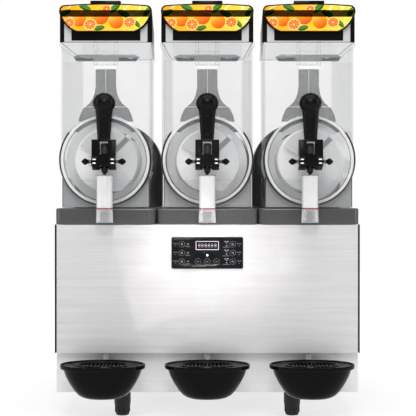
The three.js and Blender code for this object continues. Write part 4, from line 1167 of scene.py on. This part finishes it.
# Crowned top edge from the right side to the left, between two round corners.
def crownPoints(half, top, steps=10):
    corner, crown = lidShape["corner"] * half / lidShape["fullHalf"], lidShape["crown"]
    points = [(half - corner + px, top - crown - corner + pz) for px, pz in arcPoints(corner, 0, 90, steps)]
    for i in range(1, 14):
        along = i / 14
        points.append(((half - corner) * (1 - 2 * along), top - crown + 4 * crown * along * (1 - along)))
    return points + [(-px, pz) for px, pz in reversed(points[:steps + 1])]


def lidShell(name, side, low, high, shrink, wall, material, replaced):
    x, half = stationX[side], (high.x - low.x) / 2 - shrink
    top = high.z - 7.5 * mm - shrink
    front = hopperY + shrink
    bm = bmesh.new()
    outline = [(half, low.z + shrink * 0.2)] + crownPoints(half, top) + [(-half, low.z + shrink * 0.2)]
    chain = [bm.verts.new((px, front, pz)) for px, pz in outline]
    edges = [bm.edges.new(pair) for pair in zip(chain, chain[1:])]
    grown = bmesh.ops.extrude_edge_only(bm, edges=edges)["geom"]
    back = vertsOf(grown)
    depth = high.y - shrink - front
    bmesh.ops.translate(bm, vec=(0, depth, 0), verts=back)
    bmesh.ops.scale(bm, vec=(1 - lidShape["draft"] * depth, 1, 1), verts=back)
    bm.faces.new(chain)
    rear = sorted(back, key=lambda vert: math.atan2(vert.co.x, vert.co.z - low.z + 1e-3))
    bm.faces.new(rear)
    bmesh.ops.recalc_face_normals(bm, faces=bm.faces)
    roundEdges(bm, sharpEdges(bm, 60), 1.5 * mm, 3)
    bmesh.ops.recalc_face_normals(bm, faces=bm.faces)
    bmesh.ops.solidify(bm, geom=list(bm.faces), thickness=wall)
    bmesh.ops.translate(bm, vec=(x, 0, 0), verts=bm.verts)
    finishPiece(name, bm, "lid_" + side, material, replaced, 40)


# The light box outline, a crowned panel whose lower edge sweeps up to its ends.
def bezelOutline(low, high, inset, steps=12):
    half = (high.x - low.x) / 2 - inset
    bottom, top = low.z + lidShape["bezelRise"] + inset, high.z - 6 * mm - inset
    flat = lidShape["flat"] - inset * 0.8
    inward, lift, rise = lidShape["sweep"]
    curve = []
    for i in range(steps + 1):
        t = i / steps
        curve.append(((1 - t) ** 2 * flat + 2 * t * (1 - t) * (half - inward) + t * t * half,
                      bottom + 2 * t * (1 - t) * lift + t * t * rise))
    return curve + crownPoints(half, top) + [(-px, pz) for px, pz in reversed(curve)]


def lids():
    for side in sides:
        body, x = "lid_" + side, stationX[side]
        low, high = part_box("lid_" + side)
        lidShell(f"lid_{side}_shell", side, low, high, 0, lidShape["wall"], glossBlack,
                 ("lid_" + side,))
        lidShell(f"lid_{side}_liner", side, low, high, lidShape["wall"] + 0.3 * mm, 0.7 * mm, lightBox,
                 ())

        # Bezel, with the seat for the lens let into its face
        bm = bmesh.new()
        front = low.y
        addPlate(bm, [(x + px, pz) for px, pz in bezelOutline(low, high, 0)], front,
                 front + lidShape["bezelDepth"])
        face = [face for face in bm.faces if all(abs(vert.co.y - front) < 1e-7 for vert in face.verts)]
        bmesh.ops.inset_region(bm, faces=face, thickness=lidShape["margin"] - 0.3 * mm, use_even_offset=True)
        face = [face for face in bm.faces if all(abs(vert.co.y - front) < 1e-7 for vert in face.verts)
                and len(face.verts) > 8]
        grown = bmesh.ops.extrude_face_region(bm, geom=face)["geom"]
        bmesh.ops.translate(bm, vec=(0, lidShape["lens"] + 0.3 * mm, 0), verts=vertsOf(grown))
        bmesh.ops.delete(bm, geom=[part for part in face if part.is_valid], context="FACES_ONLY")
        bmesh.ops.recalc_face_normals(bm, faces=bm.faces)
        rim = [edge for edge in sharpEdges(bm, 60)
               if all(abs(vert.co.y - front) < 1e-7 for vert in edge.verts)]
        roundEdges(bm, rim, 0.7 * mm, 3)
        tabHalf = lidShape["tab"]
        addBlock(bm, (x - tabHalf, front + 1 * mm, high.z - 11 * mm),
                 (x + tabHalf, front + 15 * mm, high.z), 2 * mm, 3)
        finishPiece(f"lid_{side}_bezel", bm, body, glossBlack, (), 20)

        lensLow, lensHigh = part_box("lid_lens_" + side)
        artwork = fruitPrint("fruit_print_" + side, x, (lensLow.z + lensHigh.z) / 2)
        bm = bmesh.new()
        addPlate(bm, [(x + px, pz) for px, pz in bezelOutline(low, high, lidShape["margin"])], lensLow.y,
                 lensHigh.y, 0.4 * mm, 2)
        finishPiece(f"lid_{side}_lens", bm, body, artwork, ("lid_lens_" + side,), 20)

        # Pale strips in the lower front of the lid, either side of the dark middle, with a thin one along the
        # bottom: a painted reflection of the studio light on the lid's rounded glossy black corners and lower
        # edge
        inner, outer = lidShape["pale"]
        bm = bmesh.new()
        for direction in (-1, 1):
            ends = sorted((x + direction * inner, x + direction * outer))
            addBlock(bm, (ends[0], hopperY - 0.6 * mm, low.z + 2.5 * mm),
                     (ends[1], hopperY + 0.5 * mm, low.z + 44 * mm), 0.4 * mm, 1)
        addBlock(bm, (x - outer, hopperY - 0.6 * mm, low.z + 0.6 * mm),
                 (x + outer, hopperY + 0.5 * mm, low.z + 3.4 * mm), 0.4 * mm, 1)
        finishPiece(f"lid_corner_reflections_{side}", bm, body, paleLidGrey)
        bm = bmesh.new()
        addBlock(bm, (x - 70 * mm, hopperY + 8 * mm, low.z + 52 * mm),
                 (x + 70 * mm, hopperY + 14 * mm, low.z + 60 * mm), 1 * mm)
        finishPiece(f"lid_lamp_{side}", bm, body, paleLidGrey)


lids()
print("lids made")


# ---- drip trays

trayShape = {"halfY": 56 * mm, "rim": 9 * mm, "wall": 2.5 * mm, "bars": 13, "bracketHalf": 26 * mm,
             "curve": ((0.40, 0.0), (0.47, 0.03), (0.57, 0.11), (0.675, 0.27), (0.785, 0.52), (0.87, 0.76),
                       (0.93, 1.0))}


def dripTray(side):
    low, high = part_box("drip_tray_" + side)
    x, y, half = (low.x + high.x) / 2, low.y + trayShape["halfY"], (high.x - low.x) / 2
    bottom, rim, wall = low.z, high.z, trayShape["wall"]
    under = rim - trayShape["rim"]
    outer = [(half * width, bottom + (under - bottom) * rise) for width, rise in trayShape["curve"]]
    inner = [(radius - wall, height + wall) for radius, height in reversed(outer)]
    bm = bmesh.new()
    addTurned(bm, [(0, bottom), *outer, (half - 2.2 * mm, under + 0.3 * mm),
                   (half - 0.5 * mm, under + 1.2 * mm), (half, under + 2.6 * mm), (half, rim - 1.8 * mm),
                   (half - 0.5 * mm, rim - 0.5 * mm), (half - 1.8 * mm, rim),
                   (half - 3.0 * mm, rim - 0.2 * mm), (half - 3.8 * mm, rim - 1.4 * mm),
                   (half - 4 * mm, under + 3.5 * mm), *inner,
                   (0, bottom + wall)], (x, y, 0), "z", 96, squeeze=(1, trayShape["halfY"] / half, 1))
    bracketTop, reach = under - 5 * mm, trayShape["bracketHalf"]
    addBlock(bm, (x - reach, y + trayShape["halfY"] * 0.86, bracketTop - 16 * mm),
             (x + reach, high.y, bracketTop), 1.5 * mm, 3)
    finishPiece(f"drip_tray_{side}_finished", bm, "drip_tray_" + side, trayBlack,
                ("drip_tray_" + side,), 40)
    # A thin pale ring along the rim's top edge: a painted highlight where the glossy rim catches the light.
    bm = bmesh.new()
    addRing(bm, (x, y, rim - 0.75 * mm), half - 2.4 * mm, 0.7 * mm, "z", 96, 8,
            (1, trayShape["halfY"] / half, 1))
    finishPiece(f"tray_rim_highlight_{side}", bm, "drip_tray_" + side, rimHighlightPaint, (), 40)
    return x, rim


# A rim plate with a raised oval ring, and bars across the middle.
def dripGrid(side, x):
    low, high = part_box("drip_grid_" + side)
    halfX, halfY, floor = (high.x - low.x) / 2, (high.y - low.y) / 2, low.z
    y, squeeze = (low.y + high.y) / 2, (1, halfY / halfX, 1)
    bm = bmesh.new()
    addTurned(bm, [(halfX * 0.62, floor), (halfX - 0.8 * mm, floor), (halfX, floor + 0.8 * mm),
                   (halfX, floor + 2.4 * mm), (halfX - 0.6 * mm, floor + 3 * mm),
                   (halfX * 0.70, floor + 2.6 * mm), (halfX * 0.685, floor + 4.2 * mm),
                   (halfX * 0.66, floor + 4.5 * mm), (halfX * 0.64, floor + 3.6 * mm),
                   (halfX * 0.62, floor + 2.2 * mm)],
              (x, y, 0), "z", 80, True, squeeze)
    ringX, ringY, count = halfX * 0.65, halfY * 0.65, trayShape["bars"]
    for i in range(count):
        across = (i - (count - 1) / 2) * 2 * ringX / (count + 0.6)
        reach = ringY * math.sqrt(max(0.02, 1 - (across / ringX) ** 2))
        addBlock(bm, (x + across - 1.6 * mm, y - reach, floor + 0.2 * mm),
                 (x + across + 1.6 * mm, y + reach, floor + 2.4 * mm), 0.4 * mm, 1)
    addBlock(bm, (x - ringX, y - 1.7 * mm, floor), (x + ringX, y + 1.7 * mm, floor + 2.2 * mm), 0.4 * mm, 1)
    finishPiece(f"drip_grid_{side}_finished", bm, "drip_grid_" + side, trayBlack,
                ("drip_grid_" + side,), 40)


# The short clear drain tube that hangs behind the front panel, over the back of the tray.
def drainTube(side, x, rim):
    radius, wall = 6.6 * mm, 1.4 * mm
    bottom, top = rim - 3 * mm, rim + 34 * mm
    tube = [(radius - wall, bottom), (radius, bottom + 0.6 * mm), (radius, top), (radius - wall, top)]
    turnedPiece(f"drain_tube_{side}", tube, (x, faceY + 12.5 * mm, 0), "z", 32, "base", clearTube,
                True, (), 40)


for side in sides:
    trayX, trayRim = dripTray(side)
    dripGrid(side, trayX)
    drainTube(side, stationX[side], trayRim)
print("drip trays made")


# ---- floor

floorMesh = bmesh.new()
bmesh.ops.create_grid(floorMesh, x_segments=8, y_segments=8, size=30.0)
floorData = bpy.data.meshes.new("floor")
floorMesh.to_mesh(floorData)
floorMesh.free()
floorPaint = Graph("floor_paint")
floorX, floorY, _ = floorPaint.parts(floorPaint.place())
reach = (floorX * floorX + floorY * floorY).maths("SQRT")
farOff = floorPaint.spread(reach, 0.35, 1.1, 0.64, 0.86, True)
floorTone = floorPaint.blend(floorPaint.noise(floorPaint.place(), 1.5, 2), (0.30, 0.30, 0.30),
                             (0.33, 0.33, 0.33))
glowTone = floorPaint.blend(farOff, (0, 0, 0), (1, 1, 1))
floorData.materials.append(floorPaint.shader({"Base Color": floorTone, "Roughness": 0.9,
                                              "Specular IOR Level": 0.0,
                                              "Emission Color": glowTone, "Emission Strength": 1.0}))
floor = bpy.data.objects.new("floor", floorData)
floor.location = (0, 0, -0.0005)
bpy.context.scene.collection.objects.link(floor)
